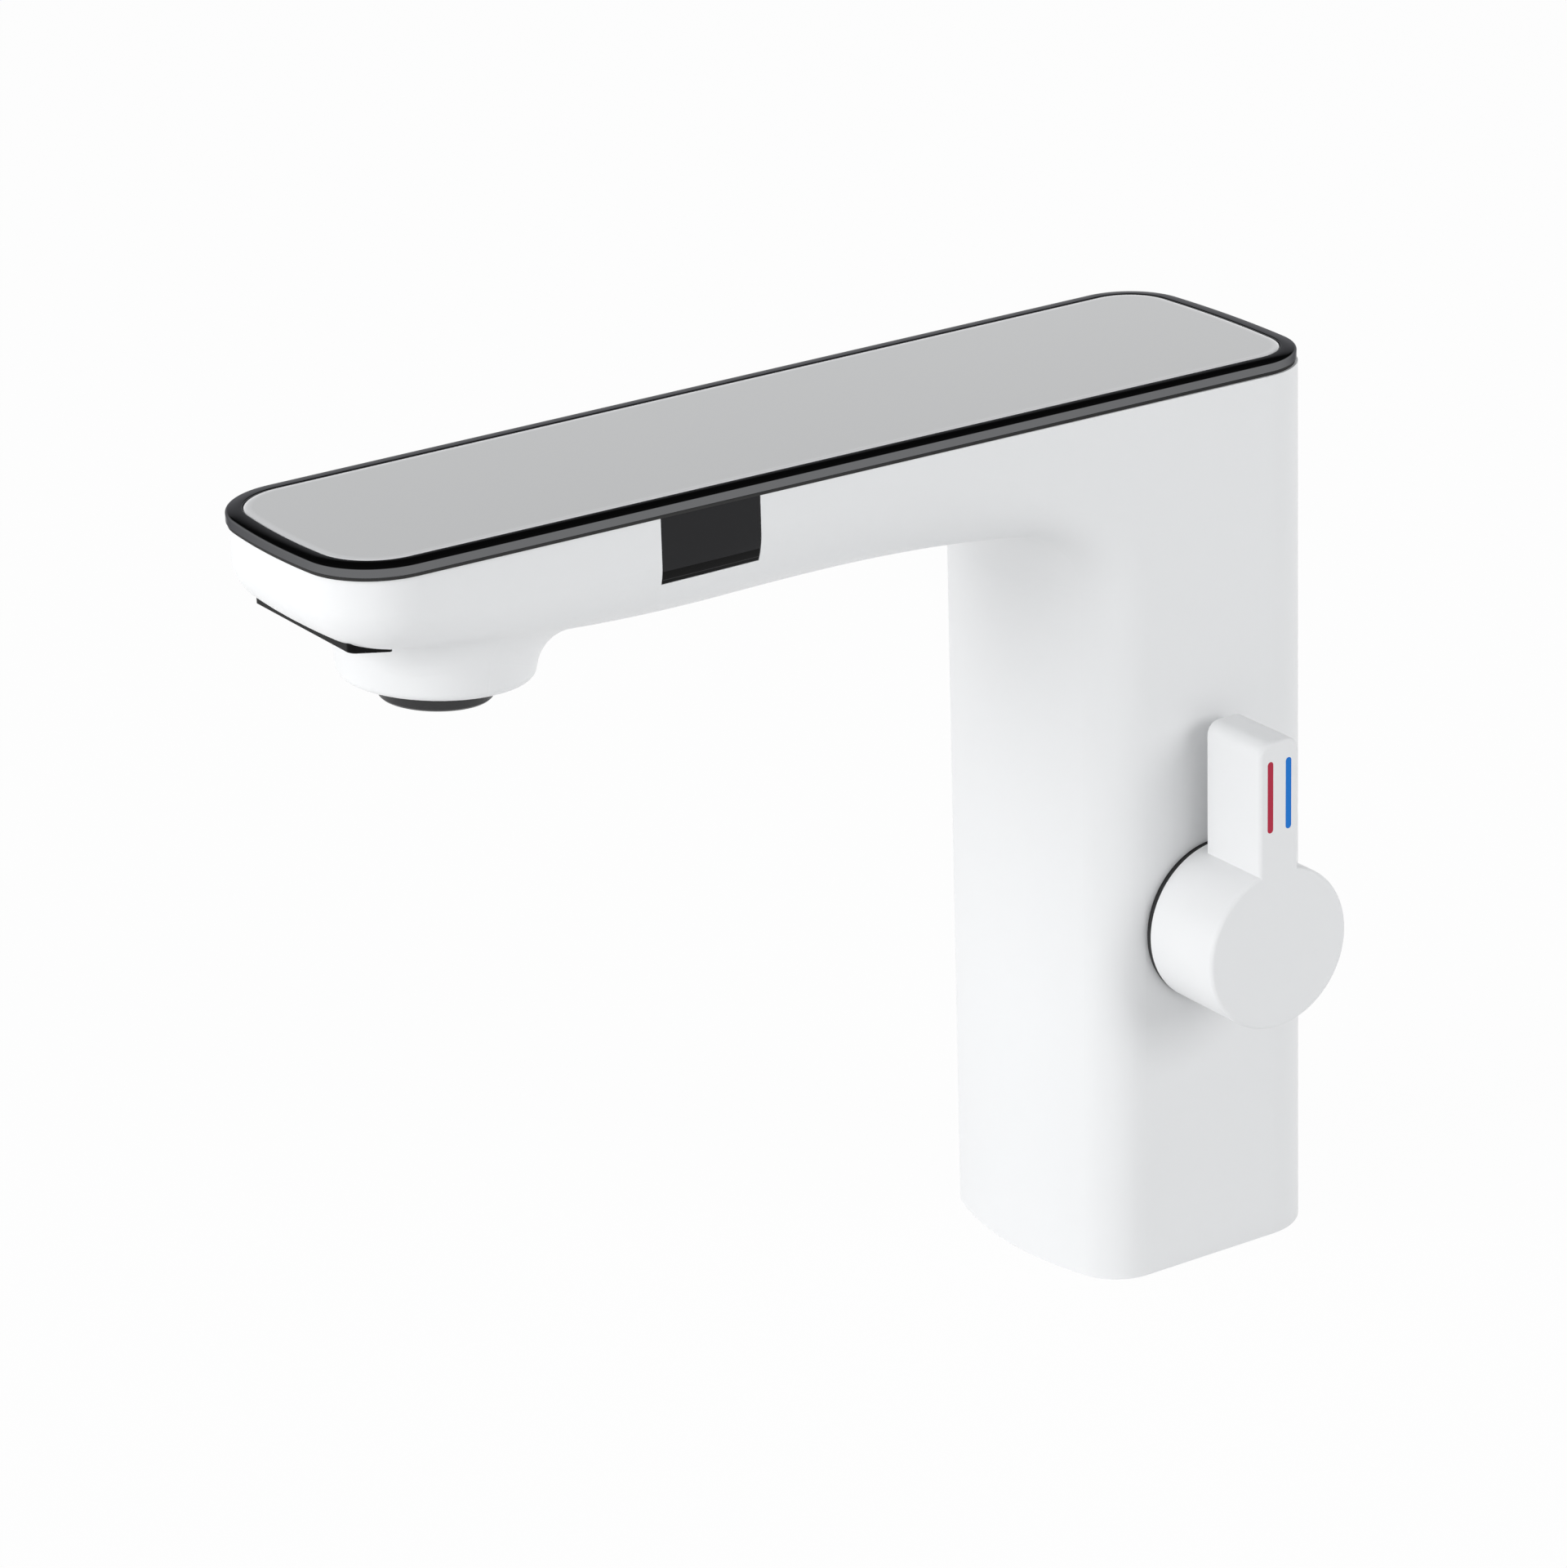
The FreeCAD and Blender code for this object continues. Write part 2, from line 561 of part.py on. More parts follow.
frame_outline = Outline(
    value("frame_tip_half"), value("frame_back_half"), value("frame_tip_y"), value("frame_back_y"),
    (value("frame_tip_crown"), value("frame_back_crown")),
    (value("frame_tip_corner"), value("frame_back_corner")))
body_outline = Outline(
    value("frame_tip_half - tip_setback"), value("frame_back_half + back_step"),
    value("frame_tip_y + tip_setback"), value("frame_back_y + back_step"),
    (value("frame_tip_crown - tip_setback"), value("frame_back_crown")),
    (value("frame_tip_corner - tip_setback"), value("frame_back_corner + back_step")))
base_outline = Outline(
    value("frame_tip_half - tip_setback"), value("base_back_half"),
    value("frame_tip_y + tip_setback"), value("frame_back_y + back_step + base_flare"),
    (value("frame_tip_crown - tip_setback"), value("frame_back_crown")),
    (value("frame_tip_corner - tip_setback"), value("frame_back_corner + back_step")))
column_outline = Outline(
    base_outline.half_at(value("front_y")), value("base_back_half"), value("front_y"),
    value("frame_back_y + back_step"),
    (value("front_crown"), value("frame_back_crown")),
    (value("column_round"), value("frame_back_corner + back_step")))


def prism(name, outline, inset, low, high):
    """A body of an outline's form between two heights."""
    body = new_body(name)
    drawing = sketch(body, name + "_outline", "XY_Plane", low)
    outline.draw(drawing, inset)
    pad(body, drawing, "(%s) - (%s)" % (high, low))
    return body


def prism_ring(name, outline, outer, inner, low, high):
    """A closed band between two insets of an outline."""
    body = prism(name, outline, outer, low, high)
    drawing = sketch(body, name + "_inside", "XY_Plane", low)
    outline.draw(drawing, inner)
    pocket(body, drawing, "(%s) - (%s)" % (high, low), upwards=True)
    return body


# ---------------------------------------------------------------- casting, outer form
body_top = "top_height - frame_band - shadow_gap"


def make_blank():
    """The plan of the whole tap, from base to rim, less the space under the spout.

    The space is a profile of the column's front, the inner corner and the underside,
    turned about the upright axis of the column's bowed front.
    """
    body = new_body("casting_blank")
    low = sketch(body, "base_plan")
    base_outline.draw(low)
    high = sketch(body, "rim_plan", "XY_Plane", body_top)
    body_outline.draw(high)
    loft = body.newObject("PartDesign::AdditiveLoft", "plan_loft")
    loft.Profile, loft.Sections, loft.Ruled = low, [high], True
    doc.recompute()
    space = body.newObject("PartDesign::Groove", "space_under_spout")
    space.Profile = profile = sketch(body, "underside_profile", "YZ_Plane")
    for line in UNDERSIDE.lines():
        profile.addGeometry(line, False)
    axis_y = value("front_y + front_crown")
    profile.addGeometry(Part.LineSegment(Vector(axis_y, 0, 0), Vector(axis_y, 1, 0)), True)
    space.ReferenceAxis = (profile, ["Axis0"])
    space.Angle, space.Midplane = 90, True
    before = loft.Shape.Volume
    doc.recompute()
    if space.Shape.Volume > 0.9 * before:
        raise RuntimeError("the space under the spout isn't cut")
    return body


class Underside:
    """Side view of the surface that runs up the column and out under the spout."""

    def __init__(self):
        self.front, self.rise = value("front_y"), value("under_rise")
        self.root, self.bend_y = value("root_under_z"), value("under_bend_y")
        self.corner = value("inner_corner")
        self.tip_y = value("frame_tip_y + tip_setback")
        slant = math.hypot(1, self.rise)
        self.corner_y = self.front - self.corner
        self.corner_z = self.straight(self.corner_y) - self.corner * slant
        self.touch_y = self.corner_y + self.corner * self.rise / slant
        self.touch_z = self.corner_z + self.corner / slant
        self.bend_z = self.straight(self.bend_y)
        run = self.bend_y - self.tip_y
        lift = value("tip_under_z") - self.straight(self.tip_y)
        self.radius = run ** 2 / (2 * lift)
        self.centre_y = self.bend_y + self.radius * self.rise / slant
        self.centre_z = self.bend_z + self.radius / slant

    def straight(self, y):
        return self.root + self.rise * (self.front - y)

    def curved(self, y):
        return self.centre_z - math.sqrt(self.radius ** 2 - (y - self.centre_y) ** 2)

    def lines(self):
        """The closed profile, with the radius about the upright axis as its width."""
        end_y = self.tip_y - 2 * value("tip_round")
        end_z = self.curved(end_y)
        floor = -5.0
        turn = math.atan2(self.touch_z - self.corner_z, self.touch_y - self.corner_y)
        start = math.atan2(end_z - self.centre_z, end_y - self.centre_y)
        stop = math.atan2(self.bend_z - self.centre_z, self.bend_y - self.centre_y)
        corner = Part.Circle(Vector(self.corner_y, self.corner_z, 0), Vector(0, 0, 1), self.corner)
        belly = Part.Circle(Vector(self.centre_y, self.centre_z, 0), Vector(0, 0, 1), self.radius)
        return [
            Part.LineSegment(Vector(self.front, floor, 0), Vector(self.front, self.corner_z, 0)),
            Part.ArcOfCircle(corner, 0, turn),
            Part.LineSegment(Vector(self.touch_y, self.touch_z, 0),
                             Vector(self.bend_y, self.bend_z, 0)),
            Part.ArcOfCircle(belly, start, stop),
            Part.LineSegment(Vector(end_y, end_z, 0), Vector(end_y, floor, 0)),
            Part.LineSegment(Vector(end_y, floor, 0), Vector(self.front, floor, 0)),
        ]

    def distance(self, point):
        """How far a point of the casting is from the turned profile."""
        axis = value("front_y + front_crown")
        y = axis - math.hypot(point.x, point.y - axis)
        if point.z < self.corner_z:
            return abs(y - self.front)
        if y > self.touch_y:
            return abs(math.hypot(y - self.corner_y, point.z - self.corner_z) - self.corner)
        if y > self.bend_y:
            return abs(point.z - self.straight(y))
        return abs(point.z - self.curved(y))


UNDERSIDE = Underside()


def round_lower_edges(blank):
    """Round the edge that runs up the column, out under the spout and round the tip.

    The radius changes along it, so the right-hand half is rounded and then mirrored.
    """
    half = common("casting_half", blank, box("right_side", ("0", "2 * frame_back_half"),
                                             ("2 * frame_tip_y", "2 * frame_back_half"),
                                             ("0 - 1", "top_height")))
    doc.recompute()
    column, spout, bend, tip = (value(name) for name in (
        "column_round", "spout_round", "bend_round", "tip_round"))
    spec = []
    for index, edge in enumerate(half.Shape.Edges, start=1):
        middle = edge.valueAt((edge.FirstParameter + edge.LastParameter) / 2)
        points = [vertex.Point for vertex in edge.Vertexes] + [middle]
        if max(point.z for point in points) < 1e-6 or max(point.x for point in points) < 1e-6:
            continue
        if max(UNDERSIDE.distance(point) for point in points) > 0.01:
            continue
        in_tip = max(point.y for point in points) < body_outline.centres[0][1] + 1
        across = min(point.x for point in points) < 1e-6
        if across and not in_tip:
            continue
        if middle.z < UNDERSIDE.corner_z:
            radii = (column, column)
        elif middle.y > UNDERSIDE.touch_y:
            radii = (column, spout)
        elif middle.y > UNDERSIDE.bend_y:
            radii = (spout, bend)
        elif not in_tip:
            radii = (bend, tip)
        else:
            radii = (tip, tip)
        spec.append((index,) + radii)
    rounded = doc.addObject("Part::Fillet", "half_rounded")
    rounded.Base = half
    rounded.Edges = spec
    other = doc.addObject("Part::Mirroring", "half_mirrored")
    other.Source = rounded
    other.Normal = Vector(1, 0, 0)
    whole = fuse("casting_rounded", rounded, other)
    whole.Refine = True
    doc.recompute()
    return whole


def add_boss(rounded):
    """The tilted outlet boss, its lower edge rounded, blended into the spout all round."""
    cone = doc.addObject("Part::Cone", "boss_cone")
    bind(cone, "Radius1", "boss_radius")
    bind(cone, "Radius2", "boss_top_radius")
    bind(cone, "Height", "boss_length")
    place(cone, 0, 0, "boss_start")
    doc.recompute()
    edged = doc.addObject("Part::Fillet", "boss_edged")
    edged.Base = cone
    edged.Edges = [(index, value("boss_edge_round"), value("boss_edge_round"))
                   for index, edge in enumerate(cone.Shape.Edges, start=1)
                   if abs(edge.BoundBox.ZMax - value("boss_start")) < 1e-6]
    joined = fuse("casting_with_boss", rounded, tilt(group("boss", edged)))
    doc.recompute()
    lean = math.radians(value("outlet_tilt"))
    axis = Vector(0, math.sin(lean), math.cos(lean))
    origin = Vector(0, value("outlet_y"), value("outlet_z"))
    grow = value("boss_top_radius - boss_radius") / value("boss_length")

    def off_cone(point):
        arm = point - origin
        height = arm.dot(axis)
        expected = value("boss_radius") + grow * (height - value("boss_start"))
        if height < value("boss_start + 2 * boss_edge_round"):
            return 1
        return abs((arm - axis * height).Length - expected)

    spec = []
    for index, edge in enumerate(joined.Shape.Edges, start=1):
        middle = edge.valueAt((edge.FirstParameter + edge.LastParameter) / 2)
        points = [middle] + [vertex.Point for vertex in edge.Vertexes]
        if max(off_cone(point) for point in points) < 0.02:
            spec.append((index, value("boss_blend"), value("boss_blend")))
    form = doc.addObject("Part::Fillet", "casting_form")
    form.Base = joined
    form.Edges = spec
    doc.recompute()
    return form


casting_form = add_boss(round_lower_edges(make_blank()))


# ---------------------------------------------------------------- casting, inside
def post_spots():
    """Names and places of the tray's six screw posts."""
    spots = []
    for pair, along in enumerate(("post_tip_y", "post_mid_y", "post_back_y"), start=1):
        away = body_outline.half_at(value(along)) - value("post_inset")
        for side, word in ((-1, "left"), (1, "right")):
            spots.append(("%s%d" % (word, pair), side * away, along))
    return spots


def base_post_spots():
    return [("%s_%s" % (word, end), x, y)
            for word, x in (("left", "0 - base_post_x"), ("right", "base_post_x"))
            for end, y in (("front", "base_post_front"), ("back", "base_post_back"))]


tray_bottom = "ledge_z + tray_seal"
tray_top = "ledge_z + tray_seal + tray_thick"
hub_at = ("hub_y", "hub_z")


def tip_window_profile(name, grow):
    """A prism across the tip: a lens that falls a little towards the column."""
    body = new_body(name)
    drawing = sketch(body, name + "_side", "YZ_Plane")
    front, low = "tip_window_y - %s" % grow, "tip_window_z - %s" % grow
    back = "tip_window_y + tip_window_deep + %s" % grow
    polygon(drawing, [
        (front, low),
        (back, low + " - tip_window_fall"),
        (back, "tip_window_z + tip_window_thick + %s" % grow),
        (front, "tip_window_z + tip_window_thick + %s" % grow)])
    pad(body, drawing, "2 * tip_window_half + 2 * %s" % grow, midplane=True)
    return body


def make_casting():
    rooms = [
        prism("tray_room", body_outline, "rim_wall", "ledge_z", body_top + " + 1"),
        prism("shallow_channel", body_outline, "channel_wall", "channel_floor", "ledge_z + 1"),
        box("duct", ("0 - duct_half", "duct_half"), ("duct_front_y", "front_y + 20"),
            ("duct_floor", "channel_floor + 1")),
        prism("column_room", column_outline, "column_wall", "0 - 1", "channel_floor + 1"),
        prism("base_seal_room", column_outline, "base_seal_lip", "0 - 1", "base_seal_thick"),
        rod("neck_hole", "neck_radius + fit", "block_shoulder - 2", "hub_start", "X", hub_at),
        rod("seat_face_cut", "seat_ring_radius + 2 * fit", "seat_face", "hub_start + 2", "X",
            hub_at),
        tilt(group("outlet_holes",
                   rod("boss_hole_cut", "boss_hole", "0", "nozzle_seat"),
                   rod("nozzle_hole_cut", "nozzle_radius + fit", "nozzle_seat",
                       "elbow_top"))),
        box("side_window_room",
            ("side_window_back - fit", "side_window_back + 20"),
            ("side_window_y - 0.5 * side_window_long - window_gap",
             "side_window_y + 0.5 * side_window_long + window_gap"),
            ("side_window_low - window_gap", "top_height")),
        box("side_eye_room", ("side_window_back - 6", "side_window_back"),
            ("side_window_y - side_eye_apart - side_eye_radius - 0.6",
             "side_window_y + side_eye_apart + side_eye_radius + 0.6"),
            ("side_board_low + 0.6", "side_board_high - 0.6")),
        tip_window_profile("tip_window_room", "window_gap"),
    ]
    for side, word in ((-1, "left"), (1, "right")):
        rooms.append(rod("tip_eye_hole_" + word, "tip_eye_radius + fit", "tip_window_z",
                         "channel_floor + 1", "Z", ("%d * tip_eye_apart" % side, "tip_eye_y")))
    hollow = cut("casting_hollow", casting_form, *rooms)
    posts = []
    for name, x, y in post_spots():
        posts.append(rod("tray_post_" + name, "post_radius", "channel_floor - 1", tray_bottom,
                         "Z", (x, y)))
    for name, x, y in base_post_spots():
        posts.append(rod("base_post_" + name, "base_post_radius", "plate_top", "base_post_top",
                         "Z", (x, y)))
        ends = (x, x + " + base_web") if "left" not in name else (x + " - base_web", x)
        posts.append(box("base_web_" + name, ends, (y + " - 0.5 * base_post_radius",
                                                    y + " + 0.5 * base_post_radius"),
                         ("plate_top", "base_post_top")))
    holes = []
    for name, x, y in post_spots():
        holes.append(rod("tray_post_hole_" + name, "tray_screw + 0.05",
                         tray_top + " - tray_head_deep - tray_screw_long - 0.5", "top_height",
                         "Z", (x, y)))
    for name, x, y in base_post_spots():
        holes.append(rod("base_post_hole_" + name, "base_screw + 0.05", "plate_bottom",
                         "plate_bottom + base_head_deep + base_screw_long + 1", "Z", (x, y)))
    return cut("body_casting", fuse("casting_posts", hollow, *posts), *holes)


# ---------------------------------------------------------------- top of the spout
def make_frame():
    """The dark metal frame: band, lip, ledge under the glass and skirt in the casting."""
    body = new_body("top_frame")
    band = sketch(body, "frame_band_plan", "XY_Plane", "top_height - frame_band")
    frame_outline.draw(band)
    pad(body, band, "frame_band")
    top = value("top_height")
    round_edges(body, "frame_edge", "frame_edge_round", lambda edge, middle: max(
        abs(vertex.Z - top) for vertex in edge.Vertexes) < 1e-3)
    skirt = sketch(body, "skirt_plan", "XY_Plane", tray_top)
    body_outline.draw(skirt, "rim_wall + tray_gap")
    pad(body, skirt, "top_height - frame_band - ledge_z - tray_seal - tray_thick + 0.2")
    glass = sketch(body, "glass_plan", "XY_Plane", "top_height")
    frame_outline.draw(glass, "frame_lip")
    pocket(body, glass, "glass_drop + glass_thick")
    opening = sketch(body, "opening_plan", "XY_Plane", "top_height")
    frame_outline.draw(opening, "frame_lip + frame_ledge")
    pocket(body, opening, "top_height - ledge_z")
    below = sketch(body, "skirt_inside_plan", "XY_Plane", tray_top)
    body_outline.draw(below, "rim_wall + tray_gap + skirt_wall")
    pocket(body, below, "top_height - glass_drop - glass_thick - frame_ledge_depth"
           " - ledge_z - tray_seal - tray_thick", upwards=True)
    return body


def make_top_parts():
    glass_bottom = "top_height - glass_drop - glass_thick"
    prism("glass_panel", frame_outline, "frame_lip + glass_gap", glass_bottom,
          "top_height - glass_drop")
    prism("light_diffuser", frame_outline, "board_inset",
          "ledge_z + tray_seal + tray_thick + board_thick", glass_bottom)
    prism("display_board", frame_outline, "board_inset", tray_top,
          "ledge_z + tray_seal + tray_thick + board_thick")
    prism_ring("tray_gasket", body_outline, "rim_wall + tray_gap",
               "rim_wall + tray_gap + tray_seal_width", "ledge_z", tray_bottom)
    plate = prism("tray_plate", body_outline, "rim_wall + tray_gap", tray_bottom, tray_top)
    studs = []
    for side, word in ((-1, "left"), (1, "right")):
        for end, spot in (("front", "control_board_front + board_stud_inset"),
                          ("back", "control_board_back - board_stud_inset")):
            studs.append(rod("board_stud_%s_%s" % (word, end), "board_stud",
                             tray_bottom + " - control_board_drop", tray_bottom + " + 0.5", "Z",
                             ("%d * control_board_half - %d * board_stud_inset" % (side, side),
                              spot)))
    holes, screws = [], []
    for name, x, y in post_spots():
        seat = tray_top + " - tray_head_deep"
        holes.append(rod("tray_hole_" + name, "tray_screw + fit", "ledge_z", tray_top, "Z", (x, y)))
        holes.append(rod("tray_sink_" + name, "tray_screw_head + fit", seat, tray_top, "Z", (x, y)))
        shank = rod("tray_shank_" + name, "tray_screw", seat + " - tray_screw_long", tray_top,
                    "Z", (x, y))
        head = rod("tray_head_" + name, "tray_screw_head", seat, tray_top, "Z", (x, y))
        screws.append(cut("tray_screw_" + name, fuse("tray_screw_blank_" + name, shank, head),
                          rod("tray_socket_" + name, "0.5 * tray_screw_head",
                              tray_top + " - 0.6 * tray_head_deep", tray_top, "Z", (x, y))))
    slot = box("cable_slot", ("0 - 5", "5"), ("control_board_back - 8", "control_board_back - 4"),
               (tray_bottom, tray_top))
    cut("display_tray", fuse("tray_with_studs", plate, *studs), slot, *holes)
    group("tray_screws", *screws)
    board_top = tray_bottom + " - control_board_drop"
    board = box("control_board_plate", ("0 - control_board_half", "control_board_half"),
                ("control_board_front", "control_board_back"),
                (board_top + " - board_thick", board_top))
    chips = [box("chip_%d" % index, ("%s - 3" % x, "%s + 3" % x), ("%s - 2.5" % y, "%s + 2.5" % y),
                 (board_top + " - board_thick - 1.4", board_top + " - board_thick"))
             for index, (x, y) in enumerate((("0 - 7", "2"), ("4", "0"), ("0", "10")), start=1)]
    fuse("control_board", board, *chips)


def make_side_sensor():
    window = box("side_window_block", ("side_window_back", "side_window_back + 20"),
                 ("side_window_y - 0.5 * side_window_long",
                  "side_window_y + 0.5 * side_window_long"),
                 ("side_window_low", body_top))
    face = body_outline.half_at(value("side_window_y"))
    bevel = doc.addObject("Part::Wedge", "side_window_bevel_cut")
    bevel.Xmin, bevel.X2min = face - value("side_window_bevel_deep"), face + 1
    bevel.Xmax = bevel.X2max = face + 5
    bevel.Ymin, bevel.Ymax = value("side_window_low"), value("side_window_low + side_window_bevel")
    bevel.Zmin = bevel.Z2min = 0
    bevel.Zmax = bevel.Z2max = value("side_window_long + 2")
    bevel.Placement = Placement(
        Vector(0, value("side_window_y + 0.5 * side_window_long + 1"), 0),
        Rotation(Vector(1, 0, 0), 90))
    cut("side_sensor_window", common("side_window_skin", casting_form, window),
        prism("side_window_ledge", body_outline, "rim_wall", "ledge_z", body_top))
    wall = face - value("channel_wall")
    board_face = wall - value("room")
    box("side_sensor_board", (board_face - value("board_thick"), board_face),
        ("side_window_y - 0.5 * side_board_long", "side_window_y + 0.5 * side_board_long"),
        ("side_board_low", "side_board_high"))
    middle = "0.5 * side_board_low + 0.5 * side_board_high"
    group("side_sensor_eyes", *[
        rod("side_eye_" + word, "side_eye_radius", board_face, "side_window_back - fit", "X",
            ("side_window_y + %d * side_eye_apart" % side, middle))
        for side, word in ((-1, "front"), (1, "back"))])


def make_tip_sensor():
    lens = tip_window_profile("tip_window_blank", "0")
    half = value("tip_window_half")
    round_edges(lens, "tip_sensor_corners", "tip_window_corner", lambda edge, middle: (
        abs(abs(middle.x) - half) < 1e-3
        and abs(edge.Vertexes[0].Z - edge.Vertexes[-1].Z) > 1.0
        and abs(edge.Vertexes[0].Y - edge.Vertexes[-1].Y) < 1e-3))
    lens.Label = "tip_sensor_window"
    top = "tip_window_z + tip_window_thick"
    eyes = []
    for side, word in ((-1, "left"), (1, "right")):
        eyes.append(rod("tip_eye_" + word, "tip_eye_radius", top + " + fit", "channel_floor", "Z",
                        ("%d * tip_eye_apart" % side, "tip_eye_y")))
    group("tip_sensor_eyes", *eyes)
    box("tip_sensor_board", ("0 - tip_board_half", "tip_board_half"),
        ("tip_eye_y - 2.8", "tip_eye_y + 2.8"),
        ("channel_floor", "channel_floor + board_thick"))


# ---------------------------------------------------------------- outlet
def grille_spots():
    """Hexagonal rings of grille holes round one in the middle."""
    spots = [(0.0, 0.0)]
    pitch = value("grille_pitch")
    for ring in (1, 2, 3):
        for index in range(6 * ring):
            angle = 2 * math.pi * index / (6 * ring)
            spots.append((ring * pitch * math.cos(angle), ring * pitch * math.sin(angle)))
    return spots


def make_outlet():
    ring = cut("aerator_ring_straight",
               fuse("aerator_ring_outside",
                    rod("aerator_collar_rod", "aerator_radius", "0", "aerator_collar"),
                    rod("aerator_thread_rod", "aerator_thread", "0", "aerator_top")),
               rod("aerator_mouth_cut", "aerator_mouth", "0", "insert_start"),
               rod("aerator_inside_cut", "insert_radius + fit", "insert_start", "aerator_top"))
    doc.recompute()
    radius = value("aerator_radius")
    edged = doc.addObject("Part::Chamfer", "aerator_ring_edged")
    edged.Base = ring
    edged.Edges = [(index, value("aerator_edge"), value("aerator_edge"))
                   for index, edge in enumerate(ring.Shape.Edges, start=1)
                   if edge.Vertexes[0].Z < 1e-6 and abs(edge.BoundBox.XMax - radius) < 1e-3
                   and edge.BoundBox.ZMax < 1e-6]
    tilt(group("aerator_ring", edged))
    insert = new_body("aerator_insert_body")
    circle_sketch = sketch(insert, "insert_disc", "XY_Plane", "insert_start")
    circle(circle_sketch, "insert_radius")
    pad(insert, circle_sketch, "aerator_top - insert_start")
    hollow = sketch(insert, "insert_hollow", "XY_Plane", "insert_start + insert_grille")
    circle(hollow, "insert_radius - 1.0")
    pocket(insert, hollow, "aerator_top - insert_start", upwards=True)
    holes = sketch(insert, "grille_holes", "XY_Plane", "insert_start")
    for x, y in grille_spots():
        line = holes.addGeometry(
            Part.Circle(Vector(x, y, 0), Vector(0, 0, 1), value("grille_hole")), False)
        tie(holes, "Radius", line, "grille_hole")
    pocket(insert, holes, "insert_grille", upwards=True)
    tilt(group("aerator_insert", insert))
    tilt(group("aerator_seal", cut(
        "aerator_seal_flat",
        rod("aerator_seal_disc", "aerator_thread", "aerator_top",
            "aerator_top + outlet_seal_thick"),
        rod("aerator_seal_hole", "outlet_seal_bore", "aerator_top",
            "aerator_top + outlet_seal_thick"))))
    stem_room = "elbow_stem_end - fit"
    tilt(group("outlet_nozzle", cut(
        "nozzle_straight",
        rod("nozzle_rod", "nozzle_radius", "nozzle_seat", "nozzle_top"),
        rod("nozzle_thread", "aerator_thread + 0.05", "nozzle_seat",
            "aerator_top + outlet_seal_thick"),
        rod("nozzle_throat", "tube_bore", "aerator_top", "nozzle_top"),
        rod("nozzle_socket", "elbow_stem + fit", stem_room, "nozzle_top"))))
    upright = tilt(group("elbow_upright",
                         rod("elbow_post", "elbow_radius", "nozzle_top", "elbow_top"),
                         rod("elbow_stem_rod", "elbow_stem", "elbow_stem_end", "nozzle_top + 1")))
    arm = rod("elbow_arm", "elbow_arm_radius", "outlet_y + 2", "elbow_mouth_y", "Y",
              ("0", "tube_z"))
    bore = tilt(group("elbow_bore", rod("elbow_bore_rod", "tube_bore", "elbow_stem_end",
                                        "elbow_top - 4")))
    across = rod("elbow_arm_bore", "tube_bore", "outlet_y + 2", "elbow_mouth_y", "Y",
                 ("0", "tube_z"))
    socket = rod("elbow_socket_cut", "tube_radius + fit", "elbow_mouth_y - elbow_socket",
                 "elbow_mouth_y", "Y", ("0", "tube_z"))
    seal_room = rod("elbow_seal_room", "tube_radius + 2 * seal_wire + 0.1", "elbow_mouth_y - 3.4",
                    "elbow_mouth_y - 1.8", "Y", ("0", "tube_z"))
    cut("outlet_elbow", fuse("elbow_outside", upright, arm), bore, across, socket, seal_room)


def make_spout_tube():
    """The water tube: up the column, round one bend and along the spout."""
    column_y, height, bend = value("tube_y"), value("tube_z"), value("tube_bend")
    foot = value("tube_foot + fit")
    end = value("elbow_mouth_y - elbow_socket + fit")
    shares = math.sqrt(0.5)
    path = Part.Wire([
        Part.LineSegment(Vector(0, column_y, foot), Vector(0, column_y, height - bend)).toShape(),
        Part.Arc(Vector(0, column_y, height - bend),
                 Vector(0, column_y - bend * (1 - shares), height - bend * (1 - shares)),
                 Vector(0, column_y - bend, height)).toShape(),
        Part.LineSegment(Vector(0, column_y - bend, height), Vector(0, end, height)).toShape()])
    shapes = []
    for radius in (value("tube_radius"), value("tube_bore")):
        ring = Part.Wire(Part.makeCircle(radius, Vector(0, column_y, foot), Vector(0, 0, 1)))
        shapes.append(path.makePipeShell([ring], True, True))
    tube = doc.addObject("Part::Feature", "spout_tube")
    tube.Shape = shapes[0].cut(shapes[1])


def make_tube_seals():
    low = o_ring("tube_seal_low", "tube_radius + seal_wire + 0.02", "seal_wire", "valve_seal_z",
                 ("0", "tube_y"))
    high = o_ring("tube_seal_high", "tube_radius + seal_wire + 0.02", "seal_wire", "tube_z",
                  ("0", "elbow_mouth_y - 2.6"), TURN["Y"])
    group("tube_seals", low, high)


